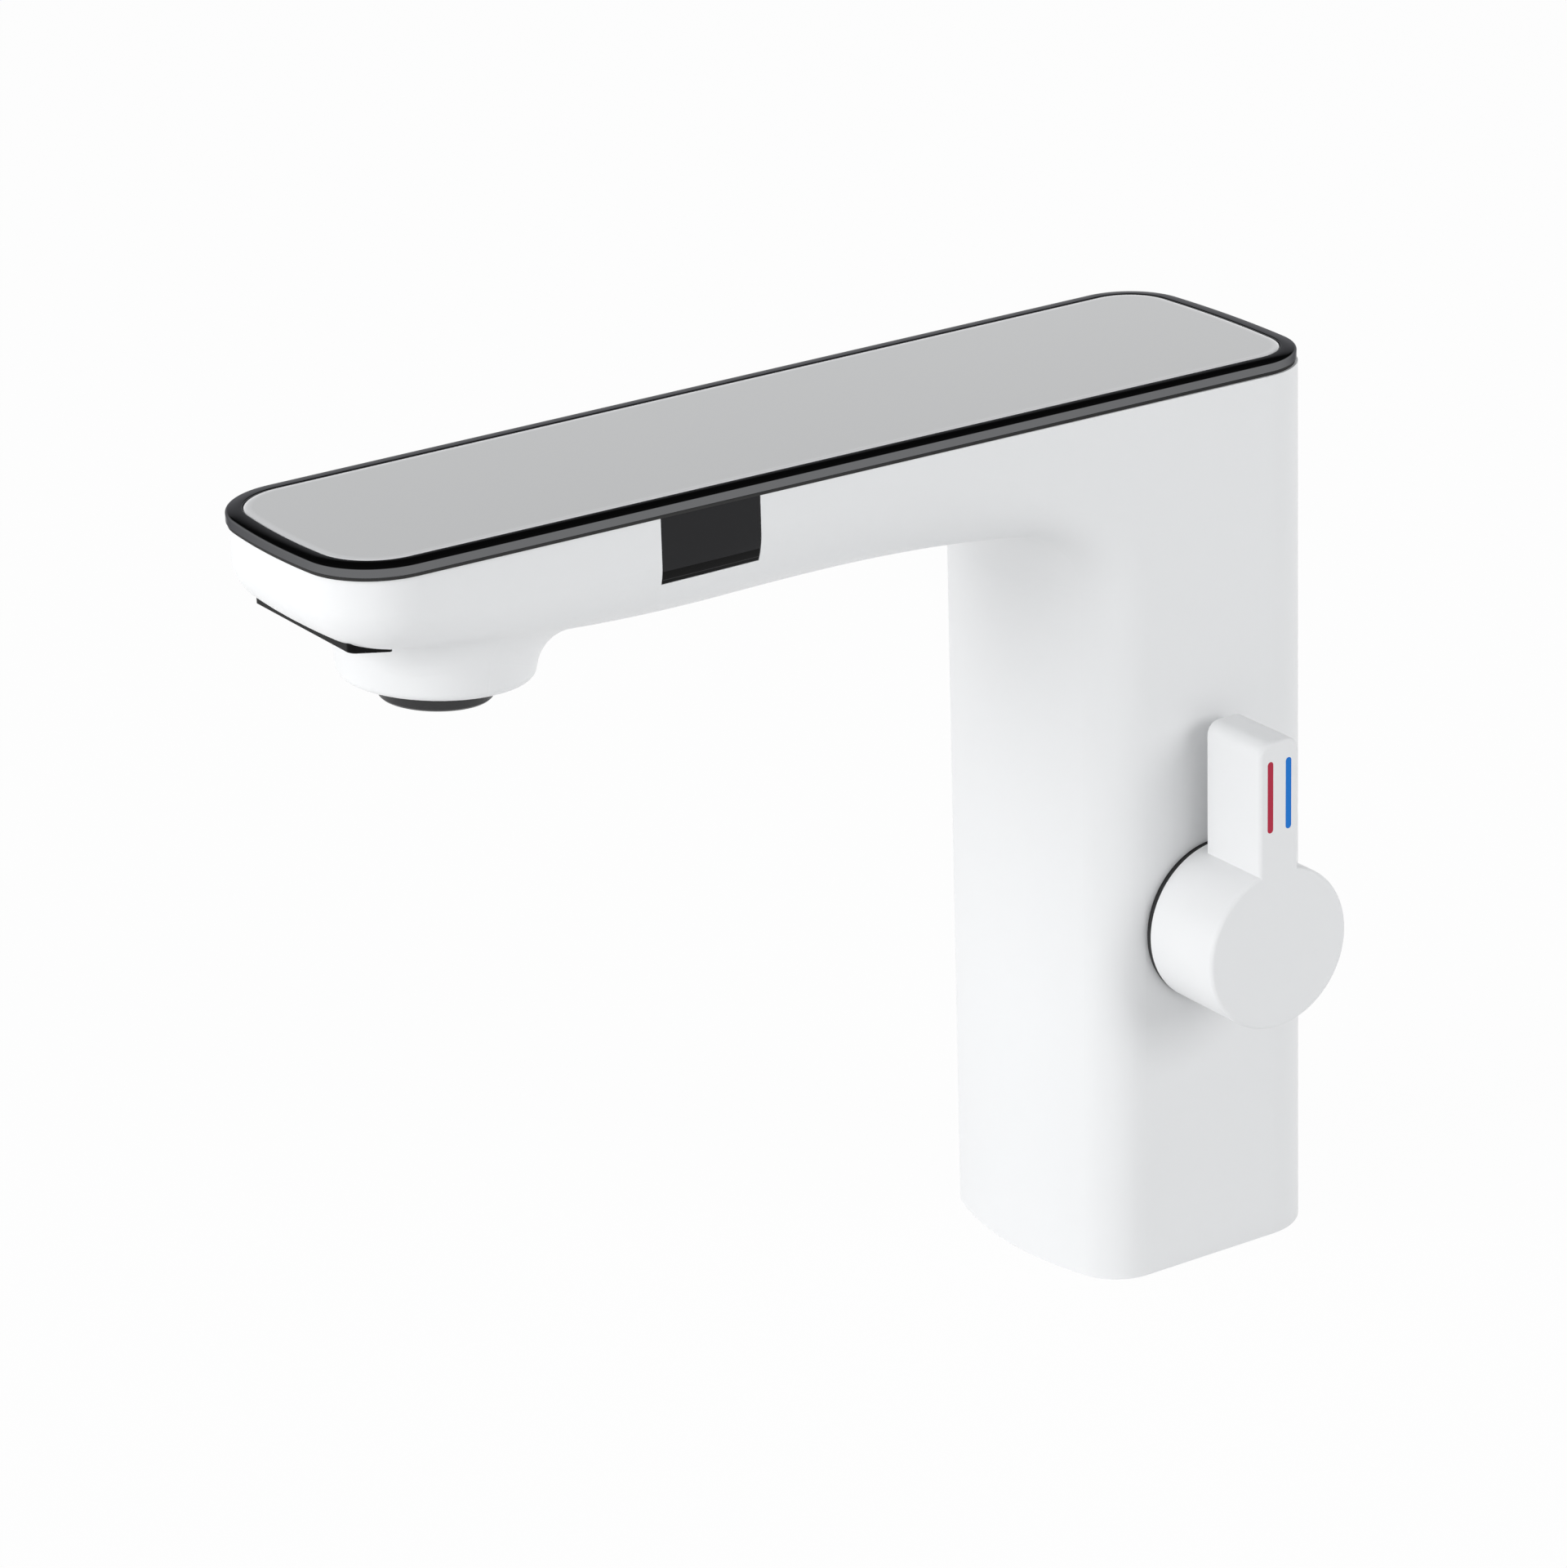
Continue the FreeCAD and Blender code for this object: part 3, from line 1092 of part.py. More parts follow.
# ---------------------------------------------------------------- lever and cartridge
def make_handle():
    """Keyhole-shaped handle: a round hub and a flat lever, with two inlaid marks."""
    body = new_body("handle")
    hub = sketch(body, "hub_plan", "YZ_Plane", "hub_start")
    circle(hub, "hub_radius", "hub_y", "hub_z")
    pad(body, hub, "hub_end - hub_start")
    lever = sketch(body, "lever_plan", "YZ_Plane", "lever_start")
    polygon(lever, [("hub_y - lever_half", "hub_z"), ("hub_y + lever_half", "hub_z"),
                    ("hub_y + lever_half", "lever_top"), ("hub_y - lever_half", "lever_top")])
    pad(body, lever, "hub_end - lever_start")
    top, half, middle_y = value("lever_top"), value("lever_half"), value("hub_y")
    round_edges(body, "lever_corners", "lever_corner", lambda edge, middle: (
        abs(middle.z - top) < 1e-3 and abs(abs(middle.y - middle_y) - half) < 1e-3))
    end = value("hub_end")
    round_edges(body, "handle_edges", "handle_edge", lambda edge, middle: max(
        abs(vertex.X - end) for vertex in edge.Vertexes) < 1e-3)
    recess = sketch(body, "recess_plan", "YZ_Plane", "hub_start")
    circle(recess, "hub_recess", "hub_y", "hub_z")
    pocket(body, recess, "hub_recess_deep", upwards=True)
    bore = sketch(body, "stem_bore", "YZ_Plane", "hub_start")
    circle(bore, "stem_radius + 0.05", "hub_y", "hub_z")
    pocket(body, bore, "stem_end - hub_start + 0.2", upwards=True)
    lug = sketch(body, "stop_lug_plan", "YZ_Plane", "hub_start + hub_recess_deep + 0.5")
    circle(lug, "stop_lug", "hub_y", "hub_z - stop_orbit")
    pad(body, lug, "hub_start + hub_recess_deep + 0.5 - stop_lug_start", downwards=True)
    grub_hole = rod("grub_hole", "grub_radius + 0.03", "hub_z - hub_radius - 1",
                    "hub_z - 0.5 * stem_radius", "Z", ("grub_x", "hub_y"))
    grooves = []
    for name, side in (("hot_mark", -1), ("cold_mark", 1)):
        y = "hub_y + %d * mark_apart" % side
        marks = []
        for use, rise in (("groove", "1"), ("inlay", "0")):
            bar = box("%s_%s_bar" % (name, use), ("hub_end - mark_deep", "hub_end + %s" % rise),
                      (y + " - mark_half", y + " + mark_half"),
                      ("mark_low + mark_half", "mark_high - mark_half"))
            ends = [rod("%s_%s_end_%d" % (name, use, index), "mark_half",
                        "hub_end - mark_deep", "hub_end + %s" % rise, "X", (y, z))
                    for index, z in enumerate(("mark_low + mark_half",
                                               "mark_high - mark_half"), start=1)]
            marks.append(fuse(name if use == "inlay" else name + "_groove", bar, *ends))
        grooves.append(marks[0])
    body.Label = "handle_blank"
    cut("lever_handle", body, grub_hole, *grooves)
    point = doc.addObject("Part::Cone", "grub_point")
    bind(point, "Radius1", "grub_radius")
    bind(point, "Radius2", "0.5 * grub_radius")
    bind(point, "Height", "0.5 * grub_radius")
    place(point, "grub_x", "hub_y", "hub_z - stem_radius - 0.5 * grub_radius - 0.02")
    shank = rod("grub_shank", "grub_radius", "hub_z - stem_radius - 0.02 - grub_long",
                "hub_z - stem_radius - 0.5 * grub_radius - 0.02", "Z", ("grub_x", "hub_y"))
    key = rod("grub_key", "0.5 * grub_radius", "hub_z - stem_radius - 0.02 - grub_long",
              "hub_z - stem_radius - 0.02 - 0.6 * grub_long", "Z", ("grub_x", "hub_y"))
    cut("grub_screw", fuse("grub_outside", shank, point), key)


def make_cartridge():
    disc_low = "cartridge_start + disc_floor"
    fixed_top = disc_low + " + disc_thick"
    moving_low = fixed_top + " + 0.05"
    moving_top = moving_low + " + disc_thick"
    driver_low = moving_top + " + 0.05"
    driver_top = driver_low + " + driver_thick"
    inlet_ports = [(word, "hub_y + %d * pipe_apart" % side, "hub_z")
                   for side, word in ((-1, "hot"), (1, "cold"))]
    outlet_port = ("mixed", "hub_y", "outlet_port_z")
    port_holes = [rod("cartridge_port_" + word, "port_radius", "cartridge_start", disc_low, "X",
                      (y + " - %d * 2" % side, z))
                  for side, (word, y, z) in zip((-1, 1, 0), inlet_ports + [outlet_port])]
    cut("cartridge_housing",
        rod("cartridge_rod", "cartridge_radius", "cartridge_start", "cartridge_end", "X", hub_at),
        rod("disc_room", "disc_chamber", disc_low, driver_top + " + 0.2", "X", hub_at),
        rod("stem_room", "stem_radius + fit", driver_low, "cartridge_end", "X", hub_at),
        *port_holes)
    disc_holes = [rod("fixed_disc_port_" + word, "port_radius - 0.4", disc_low, fixed_top, "X",
                      (y + " - %d * 2" % side, z))
                  for side, (word, y, z) in zip((-1, 1, 0), inlet_ports + [outlet_port])]
    cut("fixed_ceramic_disc", rod("fixed_disc_rod", "disc_radius", disc_low, fixed_top, "X",
                                  hub_at), *disc_holes)
    hollow = rod("moving_disc_room", "0.7 * disc_radius", moving_low,
                 moving_low + " + 0.5 * disc_thick", "X", hub_at)
    cut("moving_ceramic_disc", rod("moving_disc_rod", "disc_radius - 0.3", moving_low,
                                   moving_top, "X", hub_at), hollow)
    fuse("cartridge_stem",
         rod("driver_rod", "disc_radius - 0.5", driver_low, driver_top, "X", hub_at),
         rod("stem_rod", "stem_radius", driver_low, "stem_end", "X", hub_at))
    nut = cut("cartridge_nut",
              rod("nut_rod", "cartridge_radius", "cartridge_end", "cartridge_nut_end", "X",
                  hub_at),
              rod("nut_hole", "stem_radius + 1.5", "cartridge_end", "cartridge_nut_end", "X",
                  hub_at),
              *[rod("nut_key_%d" % index, "1.1", "cartridge_nut_end - 2.5", "cartridge_nut_end",
                    "X", ("hub_y + %.4f" % (9 * math.cos(angle)),
                          "hub_z + %.4f" % (9 * math.sin(angle))))
                for index, angle in enumerate(k * math.pi / 2 for k in range(4))])
    ring_end = "stop_ring_start + stop_ring_thick"
    blank = rod("stop_ring_rod", "cartridge_radius", "stop_ring_start", ring_end, "X", hub_at)
    hole = rod("stop_ring_hole", "stop_ring_bore", "stop_ring_start", ring_end, "X", hub_at)
    slot = cut("stop_slot", sector("stop_slot_outer", "stop_orbit + stop_lug + 0.3"),
               sector("stop_slot_inner", "stop_orbit - stop_lug - 0.3"))
    cut("stop_ring", blank, hole, slot)
    cut("handle_seat_ring",
        rod("seat_ring_rod", "seat_ring_radius", "seat_face", "seat_face + seat_ring_thick",
            "X", hub_at),
        rod("seat_ring_hole", "neck_radius + 0.05", "seat_face", "seat_face + seat_ring_thick",
            "X", hub_at))
    return nut


def sector(name, radius):
    """A pie slice about the lever axis, centred straight down, as wide as the travel."""
    lug = math.degrees(math.asin(value("stop_lug") / value("stop_orbit")))
    slice_angle = 2 * (value("turn_limit") + lug + 2)
    pie = rod(name, radius, "stop_ring_start", "stop_ring_start + stop_ring_thick", "X", hub_at)
    pie.Angle = slice_angle
    pie.Placement = Placement(Vector(), TURN["X"].multiply(
        Rotation(Vector(0, 0, 1), -slice_angle / 2)))
    return pie


def make_valve_block():
    """Brass block: two inlets from below, the cartridge bore and the mixed outlet above."""
    around_y = ("hub_y - block_half", "hub_y + block_half")
    outside = fuse(
        "block_outside",
        box("block_body", ("block_back", "block_front"), around_y,
            ("hub_z - block_half", "hub_z + block_half")),
        rod("block_housing_rod", "block_housing", "block_front - 1", "block_shoulder", "X",
            hub_at),
        rod("block_neck", "neck_radius", "block_shoulder - 1", "neck_end", "X", hub_at))
    tools = [rod("cartridge_bore", "cartridge_radius + fit", "cartridge_start", "neck_end", "X",
                 hub_at)]
    for side, word in ((-1, "hot"), (1, "cold")):
        y = "hub_y + %d * pipe_apart" % side
        tools += [
            rod("inlet_bore_" + word, "pipe_radius + fit", "hub_z - block_half",
                "pipe_bore_top", "Z", ("pipe_x", y)),
            rod("inlet_way_" + word, "pipe_bore", "pipe_bore_top - 1", "hub_z", "Z",
                ("pipe_x", y)),
            rod("inlet_port_" + word, "port_radius", "pipe_x", "cartridge_start + 1", "X",
                (y + " - %d * 2" % side, "hub_z"))]
    tools += [
        rod("riser_bore", "pipe_radius + fit", "riser_bottom - 0.2", "hub_z + block_half", "Z",
            ("pipe_x", "hub_y")),
        rod("riser_way", "port_radius", "outlet_port_z", "riser_bottom", "Z",
            ("pipe_x", "hub_y")),
        rod("outlet_port", "port_radius", "pipe_x", "cartridge_start + 1", "X",
            ("hub_y", "outlet_port_z"))]
    cut("valve_block", outside, *tools)


# ---------------------------------------------------------------- water pipes
def seal_groove(name, z, at):
    """The groove of an O-ring round a pipe stem."""
    inner = "pipe_radius - 2 * seal_wire + 0.03"
    return cut(name, rod(name + "_outer", "pipe_radius + 1", z + " - 0.8", z + " + 0.8", "Z", at),
               rod(name + "_inner", inner, z + " - 0.8", z + " + 0.8", "Z", at))


def make_pipes():
    seals = []
    ring = "pipe_radius - seal_wire + 0.04"
    for side, word in ((-1, "hot"), (1, "cold")):
        at = ("pipe_x", "hub_y + %d * pipe_apart" % side)
        outside = fuse(
            word + "_pipe_outside",
            rod(word + "_socket", "socket_radius", "socket_bottom", "socket_top", "Z", at),
            rod(word + "_flange", "socket_flange", "plate_top",
                "plate_top + socket_flange_thick", "Z", at),
            rod(word + "_stem", "pipe_radius", "socket_top - 1", "pipe_top", "Z", at))
        cut(word + "_inlet_pipe", outside,
            rod(word + "_thread", "socket_thread", "socket_bottom",
                "socket_bottom + socket_deep", "Z", at),
            rod(word + "_bore", "pipe_bore", "socket_bottom", "pipe_top", "Z", at),
            seal_groove(word + "_groove", "inlet_seal_z", at))
        seals.append(o_ring(word + "_seal", ring, "seal_wire", "inlet_seal_z", at))
    at = ("pipe_x", "hub_y")
    cut("riser_pipe", rod("riser_rod", "pipe_radius", "riser_bottom", "riser_top", "Z", at),
        rod("riser_hole", "pipe_bore", "riser_bottom", "riser_top", "Z", at),
        seal_groove("riser_groove_low", "riser_seal_low", at),
        seal_groove("riser_groove_high", "riser_seal_high", at))
    for word in ("low", "high"):
        seals.append(o_ring("riser_seal_" + word + "_ring", ring, "seal_wire",
                            "riser_seal_" + word, at))
    group("pipe_seals", *seals)


# ---------------------------------------------------------------- solenoid valve
def valve_screw_spots():
    return [("%d%d" % (i, k), "%d * valve_screw_apart" % i,
             "valve_y + %d * valve_screw_apart" % k) for i in (-1, 1) for k in (-1, 1)]


def make_solenoid():
    around_x = ("0 - valve_half", "valve_half")
    axis = ("0", "valve_y")
    outside = fuse(
        "valve_outside",
        box("valve_box", around_x, ("valve_y - valve_half", "valve_y + valve_half"),
            ("valve_bottom", "valve_top")),
        box("valve_lug_bridge", ("0 - lug_radius", "lug_radius"),
            ("tube_y", "valve_y - valve_half + 1"), ("lug_bottom", "valve_top")),
        rod("valve_lug", "lug_radius", "lug_bottom", "valve_top", "Z", ("0", "tube_y")))
    inlet = ("pipe_x", "hub_y")
    tools = [
        rod("valve_inlet", "pipe_radius + fit", "valve_bottom", "riser_top + 0.2", "Z", inlet),
        rod("valve_inlet_way", "0.8 * port_radius", "riser_top", "valve_top", "Z", inlet),
        rod("diaphragm_room_cut", "diaphragm_radius + 0.2", "valve_top - diaphragm_room",
            "valve_top", "Z", axis),
        rod("valve_seat", "seat_bore", "valve_passage_z", "valve_top", "Z", axis),
        rod("valve_passage", "tube_bore", "tube_y", "valve_y", "Y", ("0", "valve_passage_z")),
        rod("tube_way", "tube_bore", "valve_passage_z", "tube_foot + 1", "Z", ("0", "tube_y")),
        rod("tube_socket", "tube_radius + fit", "tube_foot", "valve_top", "Z", ("0", "tube_y")),
        rod("tube_seal_room", "tube_radius + 2 * seal_wire + 0.1", "valve_seal_z - 0.8",
            "valve_seal_z + 0.8", "Z", ("0", "tube_y")),
        rod("probe_hole", "probe_radius + 0.05", "0 - lug_radius - 1", "probe_tip_x", "X",
            ("tube_y", "valve_passage_z"))]
    screws = []
    head_seat = "valve_top + bonnet_thick"
    bonnet_tools = []
    for name, x, y in valve_screw_spots():
        tools.append(rod("valve_screw_hole_" + name, "valve_screw + 0.05",
                         head_seat + " - valve_screw_long - 0.5", "valve_top", "Z", (x, y)))
        bonnet_tools.append(rod("bonnet_hole_" + name, "valve_screw + fit", "valve_top",
                                head_seat, "Z", (x, y)))
        screws.append(cut(
            "valve_screw_piece_" + name,
            fuse("valve_screw_blank_" + name,
                 rod("valve_shank_" + name, "valve_screw", head_seat + " - valve_screw_long",
                     head_seat, "Z", (x, y)),
                 rod("valve_head_" + name, "valve_screw_head", head_seat, head_seat + " + 1.8",
                     "Z", (x, y))),
            rod("valve_key_" + name, "0.5 * valve_screw_head", head_seat + " + 0.8",
                head_seat + " + 1.8", "Z", (x, y))))
    cut("solenoid_valve_body", outside, *tools)
    group("solenoid_screws", *screws)
    fuse("diaphragm",
         rod("diaphragm_disc", "diaphragm_radius", "valve_top - diaphragm_thick", "valve_top",
             "Z", axis),
         rod("diaphragm_hub", "seat_bore + 1", "valve_top - diaphragm_room",
             "valve_top - 0.5 * diaphragm_thick", "Z", axis))
    inner = "plunger_radius + plunger_clear"
    cut("solenoid_bonnet",
        fuse("bonnet_outside",
             box("bonnet_plate", ("0 - bonnet_half", "bonnet_half"),
                 ("valve_y - bonnet_half", "valve_y + bonnet_half"), ("valve_top", head_seat)),
             rod("guide_tube", "guide_radius", "valve_top", "guide_top", "Z", axis)),
        rod("plunger_room", inner, "valve_top + plunger_floor", "guide_top - guide_cap", "Z",
            axis),
        rod("pilot_hole", "0.8", "valve_top", "valve_top + plunger_floor + 0.5", "Z", axis),
        *bonnet_tools)
    plunger_low = "valve_top + plunger_floor + 0.05"
    cut("solenoid_plunger",
        rod("plunger_rod", "plunger_radius", plunger_low, plunger_low + " + plunger_long", "Z",
            axis),
        rod("plunger_hollow", "1.2", plunger_low + " + 0.5 * plunger_long",
            plunger_low + " + plunger_long", "Z", axis))
    coil_low = head_seat + " + yoke_thick + fit"
    cut("solenoid_coil",
        fuse("coil_outside",
             rod("coil_rod", "coil_radius", coil_low, coil_low + " + coil_high", "Z", axis),
             box("coil_terminal", ("0 - 4", "4"),
                 ("valve_y - coil_radius - 2", "valve_y"),
                 (coil_low + " + 3", coil_low + " + 9"))),
        rod("coil_hole", "guide_radius + fit", coil_low, coil_low + " + coil_high", "Z", axis))
    yoke_top = coil_low + " + coil_high + fit"
    cut("solenoid_yoke",
        box("yoke_block", ("0 - coil_radius - yoke_gap - yoke_thick", "yoke_half"),
            ("valve_y - yoke_half", "valve_y + yoke_half"),
            (head_seat, yoke_top + " + yoke_thick")),
        box("yoke_window", ("0 - coil_radius - yoke_gap", "coil_radius"),
            ("valve_y - yoke_half", "valve_y + yoke_half"),
            (head_seat + " + yoke_thick", yoke_top)),
        rod("yoke_hole", "guide_radius + fit", head_seat, yoke_top + " + yoke_thick", "Z", axis))
    clip_low = yoke_top + " + yoke_thick"
    cut("coil_clip",
        rod("clip_rod", "clip_radius", clip_low, clip_low + " + clip_thick", "Z", axis),
        rod("clip_hole", "guide_radius + 0.02", clip_low, clip_low + " + clip_thick", "Z", axis))
    group("temperature_probe",
          fuse("probe_piece",
               rod("probe_rod", "probe_radius", "0 - lug_radius", "probe_tip_x", "X",
                   ("tube_y", "valve_passage_z")),
               rod("probe_head_rod", "probe_head", "0 - lug_radius - 2.5", "0 - lug_radius", "X",
                   ("tube_y", "valve_passage_z"))))
    make_plunger_spring()


def make_plunger_spring():
    """A wire helix between the plunger and the end of its guide tube."""
    low = value("valve_top + plunger_floor + 0.05 + plunger_long + spring_wire + 0.05")
    high = value("guide_top - guide_cap - spring_wire - 0.05")
    radius, wire = value("spring_radius"), value("spring_wire")
    helix = Part.makeHelix((high - low) / value("spring_turns"), high - low, radius)
    corners = [Vector(radius + wire * math.cos(math.radians(60 * index)), 0,
                      wire * math.sin(math.radians(60 * index))) for index in range(7)]
    spring = doc.addObject("Part::Feature", "plunger_spring")
    spring.Shape = Part.Wire(helix).makePipeShell([Part.makePolygon(corners)], True, True)
    spring.Placement = Placement(Vector(0, value("valve_y"), low), Rotation())


# ---------------------------------------------------------------- base
def make_base():
    deck_seal = prism("base_gasket_blank", column_outline, "base_seal_lip + 0.1", "0",
                      "base_seal_thick")
    seal_holes = [rod("gasket_cable_hole", "grommet_flange + gasket_room", "0",
                      "base_seal_thick", "Z", ("stud_x", "hub_y"))]
    for side, word in ((-1, "hot"), (1, "cold")):
        seal_holes.append(rod("gasket_pipe_hole_" + word, "socket_radius + gasket_room", "0",
                              "base_seal_thick", "Z",
                              ("pipe_x", "hub_y + %d * pipe_apart" % side)))
        seal_holes.append(rod("gasket_stud_hole_" + word, "stud_thread + 2 * gasket_room", "0",
                              "base_seal_thick", "Z",
                              ("stud_x", "hub_y + %d * stud_apart" % side)))
    cut("base_gasket", deck_seal, *seal_holes)
    plate = prism("base_plate_blank", column_outline, "column_wall + plate_gap", "plate_bottom",
                  "plate_top")
    tools, screws = [], []
    for side, word in ((-1, "hot"), (1, "cold")):
        tools.append(rod("plate_hole_" + word, "socket_radius + 2 * fit", "plate_bottom",
                         "plate_top", "Z", ("pipe_x", "hub_y + %d * pipe_apart" % side)))
        tools.append(rod("stud_hole_" + word, "stud_thread", "plate_bottom", "plate_top", "Z",
                         ("stud_x", "hub_y + %d * stud_apart" % side)))
    tools.append(rod("grommet_hole", "grommet_radius + 0.05", "plate_bottom", "plate_top", "Z",
                     ("stud_x", "hub_y")))
    for name, x, y in base_post_spots():
        seat = "plate_bottom + base_head_deep"
        tools.append(rod("plate_screw_hole_" + name, "base_screw + fit", "plate_bottom",
                         "plate_top", "Z", (x, y)))
        tools.append(rod("plate_sink_" + name, "base_screw_head + fit", "plate_bottom", seat,
                         "Z", (x, y)))
        screws.append(cut(
            "base_screw_" + name,
            fuse("base_screw_blank_" + name,
                 rod("base_head_" + name, "base_screw_head", "plate_bottom", seat, "Z", (x, y)),
                 rod("base_shank_" + name, "base_screw", seat, seat + " + base_screw_long", "Z",
                     (x, y))),
            rod("base_key_" + name, "0.5 * base_screw_head", "plate_bottom",
                "plate_bottom + 0.6 * base_head_deep", "Z", (x, y))))
    cut("base_plate", plate, *tools)
    group("base_screws", *screws)
    at = ("stud_x", "hub_y")
    cut("cable_grommet",
        fuse("grommet_outside",
             rod("grommet_rod", "grommet_radius", "plate_bottom - grommet_flange_thick",
                 "plate_top + grommet_flange_thick", "Z", at),
             rod("grommet_flange_low", "grommet_flange", "plate_bottom - grommet_flange_thick",
                 "plate_bottom", "Z", at),
             rod("grommet_flange_high", "grommet_flange", "plate_top",
                 "plate_top + grommet_flange_thick", "Z", at)),
        rod("grommet_hole_cut", "grommet_bore", "plate_bottom - grommet_flange_thick",
            "plate_top + grommet_flange_thick", "Z", at))


# ---------------------------------------------------------------- build and write
make_casting()
make_frame()
make_top_parts()
make_side_sensor()
make_tip_sensor()
make_outlet()
make_spout_tube()
make_tube_seals()
make_handle()
make_cartridge()
make_valve_block()
make_pipes()
make_solenoid()
make_base()
doc.recompute()

NODES = [
    "body_casting", "top_frame", "glass_panel", "light_diffuser", "display_board",
    "display_tray", "tray_gasket", "tray_screws", "control_board",
    "side_sensor_window", "side_sensor_board", "side_sensor_eyes",
    "tip_sensor_window", "tip_sensor_board", "tip_sensor_eyes",
    "aerator_ring", "aerator_insert", "aerator_seal", "outlet_nozzle", "outlet_elbow",
    "spout_tube", "tube_seals",
    "lever_handle", "hot_mark", "cold_mark", "grub_screw", "handle_seat_ring", "stop_ring",
    "cartridge_housing", "fixed_ceramic_disc", "moving_ceramic_disc", "cartridge_stem",
    "cartridge_nut", "valve_block",
    "hot_inlet_pipe", "cold_inlet_pipe", "riser_pipe", "pipe_seals",
    "solenoid_valve_body", "diaphragm", "solenoid_bonnet", "solenoid_plunger",
    "plunger_spring", "solenoid_coil", "solenoid_yoke", "coil_clip", "solenoid_screws",
    "temperature_probe", "base_plate", "base_gasket", "base_screws", "cable_grommet",
]


def check(thing):
    if "Invalid" in thing.State or "Error" in thing.State:
        raise RuntimeError("%s failed: %s" % (thing.Label, thing.State))


for item in doc.Objects:
    check(item)
pieces = [doc.getObjectsByLabel(label)[0] for label in NODES]
for piece in pieces:
    if piece.Shape.isNull() or not piece.Shape.isValid() or not piece.Shape.Solids:
        raise RuntimeError(piece.Label + " has no valid solid")
for piece in pieces:
    piece.Shape.exportStep("parts/%s.step" % piece.Label)
print("wrote %d nodes, %d solids" % (len(pieces), sum(len(p.Shape.Solids) for p in pieces)))
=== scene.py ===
"""Looks of the sensor basin tap: satin white casting and lever, black metal frame,
light grey touch glass, dark sensor windows, and the fittings that show from below.

Metres, in the part's own frame: +Z up, the spout reaches towards -Y, the lever is on +X.
"""
import json
import math

import bpy
import numpy as np
from mathutils import Matrix, Vector


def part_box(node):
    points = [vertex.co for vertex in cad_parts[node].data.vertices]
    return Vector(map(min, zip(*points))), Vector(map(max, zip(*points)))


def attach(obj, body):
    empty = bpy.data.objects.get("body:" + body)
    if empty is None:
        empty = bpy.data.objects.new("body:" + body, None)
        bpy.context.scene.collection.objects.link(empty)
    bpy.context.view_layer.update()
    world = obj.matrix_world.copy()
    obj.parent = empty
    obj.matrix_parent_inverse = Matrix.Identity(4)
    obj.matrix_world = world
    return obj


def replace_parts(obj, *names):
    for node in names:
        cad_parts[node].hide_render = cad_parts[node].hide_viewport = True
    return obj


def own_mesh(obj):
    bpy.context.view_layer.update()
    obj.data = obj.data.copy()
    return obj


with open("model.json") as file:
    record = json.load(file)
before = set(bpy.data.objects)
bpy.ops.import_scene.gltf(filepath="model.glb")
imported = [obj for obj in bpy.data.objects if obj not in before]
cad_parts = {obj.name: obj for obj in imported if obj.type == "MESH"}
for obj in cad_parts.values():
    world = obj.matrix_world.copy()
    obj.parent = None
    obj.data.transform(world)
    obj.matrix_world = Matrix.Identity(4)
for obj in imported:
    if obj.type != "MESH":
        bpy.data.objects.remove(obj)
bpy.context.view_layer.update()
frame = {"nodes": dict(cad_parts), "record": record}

MM = 0.001
NOISE_MEAN = 0.5


# ---------------------------------------------------------------- shader groups
def new_group(name, inputs, outputs):
    """An empty shader group with float or colour sockets, and its two end nodes."""
    group = bpy.data.node_groups.new(name, "ShaderNodeTree")
    for title, start in inputs:
        kind = "NodeSocketColor" if isinstance(start, tuple) else "NodeSocketFloat"
        socket = group.interface.new_socket(title, in_out="INPUT", socket_type=kind)
        socket.default_value = start
    for title, kind in outputs:
        group.interface.new_socket(title, in_out="OUTPUT", socket_type=kind)
    return group, group.nodes.new("NodeGroupInput"), group.nodes.new("NodeGroupOutput")


def math_node(tree, operation, first, second):
    """A Math node; each operand is a socket or a number."""
    node = tree.nodes.new("ShaderNodeMath")
    node.operation = operation
    for socket, operand in zip(node.inputs, (first, second)):
        if isinstance(operand, (int, float)):
            socket.default_value = operand
        else:
            tree.links.new(operand, socket)
    return node.outputs[0]


def noise(tree, place, scale, detail):
    """Noise between 0 and 1 over a place; scale is a socket or a number, in waves per metre."""
    node = tree.nodes.new("ShaderNodeTexNoise")
    node.inputs["Detail"].default_value = detail
    tree.links.new(place, node.inputs["Vector"])
    if isinstance(scale, (int, float)):
        node.inputs["Scale"].default_value = scale
    else:
        tree.links.new(scale, node.inputs["Scale"])
    return node.outputs["Fac"]


def object_place(tree):
    """Place of the shaded point in the part's own frame, in metres."""
    return tree.nodes.new("ShaderNodeTexCoord").outputs["Object"]


def mix_colour(tree, share, first, second):
    """Mix of two colours, each a socket or a tuple: the first at share 0, the second at 1."""
    factor_in, first_in, second_in, colour_out = 0, 6, 7, 2
    node = tree.nodes.new("ShaderNodeMix")
    node.data_type = "RGBA"
    tree.links.new(share, node.inputs[factor_in])
    for index, colour in ((first_in, first), (second_in, second)):
        if isinstance(colour, tuple):
            node.inputs[index].default_value = colour
        else:
            tree.links.new(colour, node.inputs[index])
    return node.outputs[colour_out]


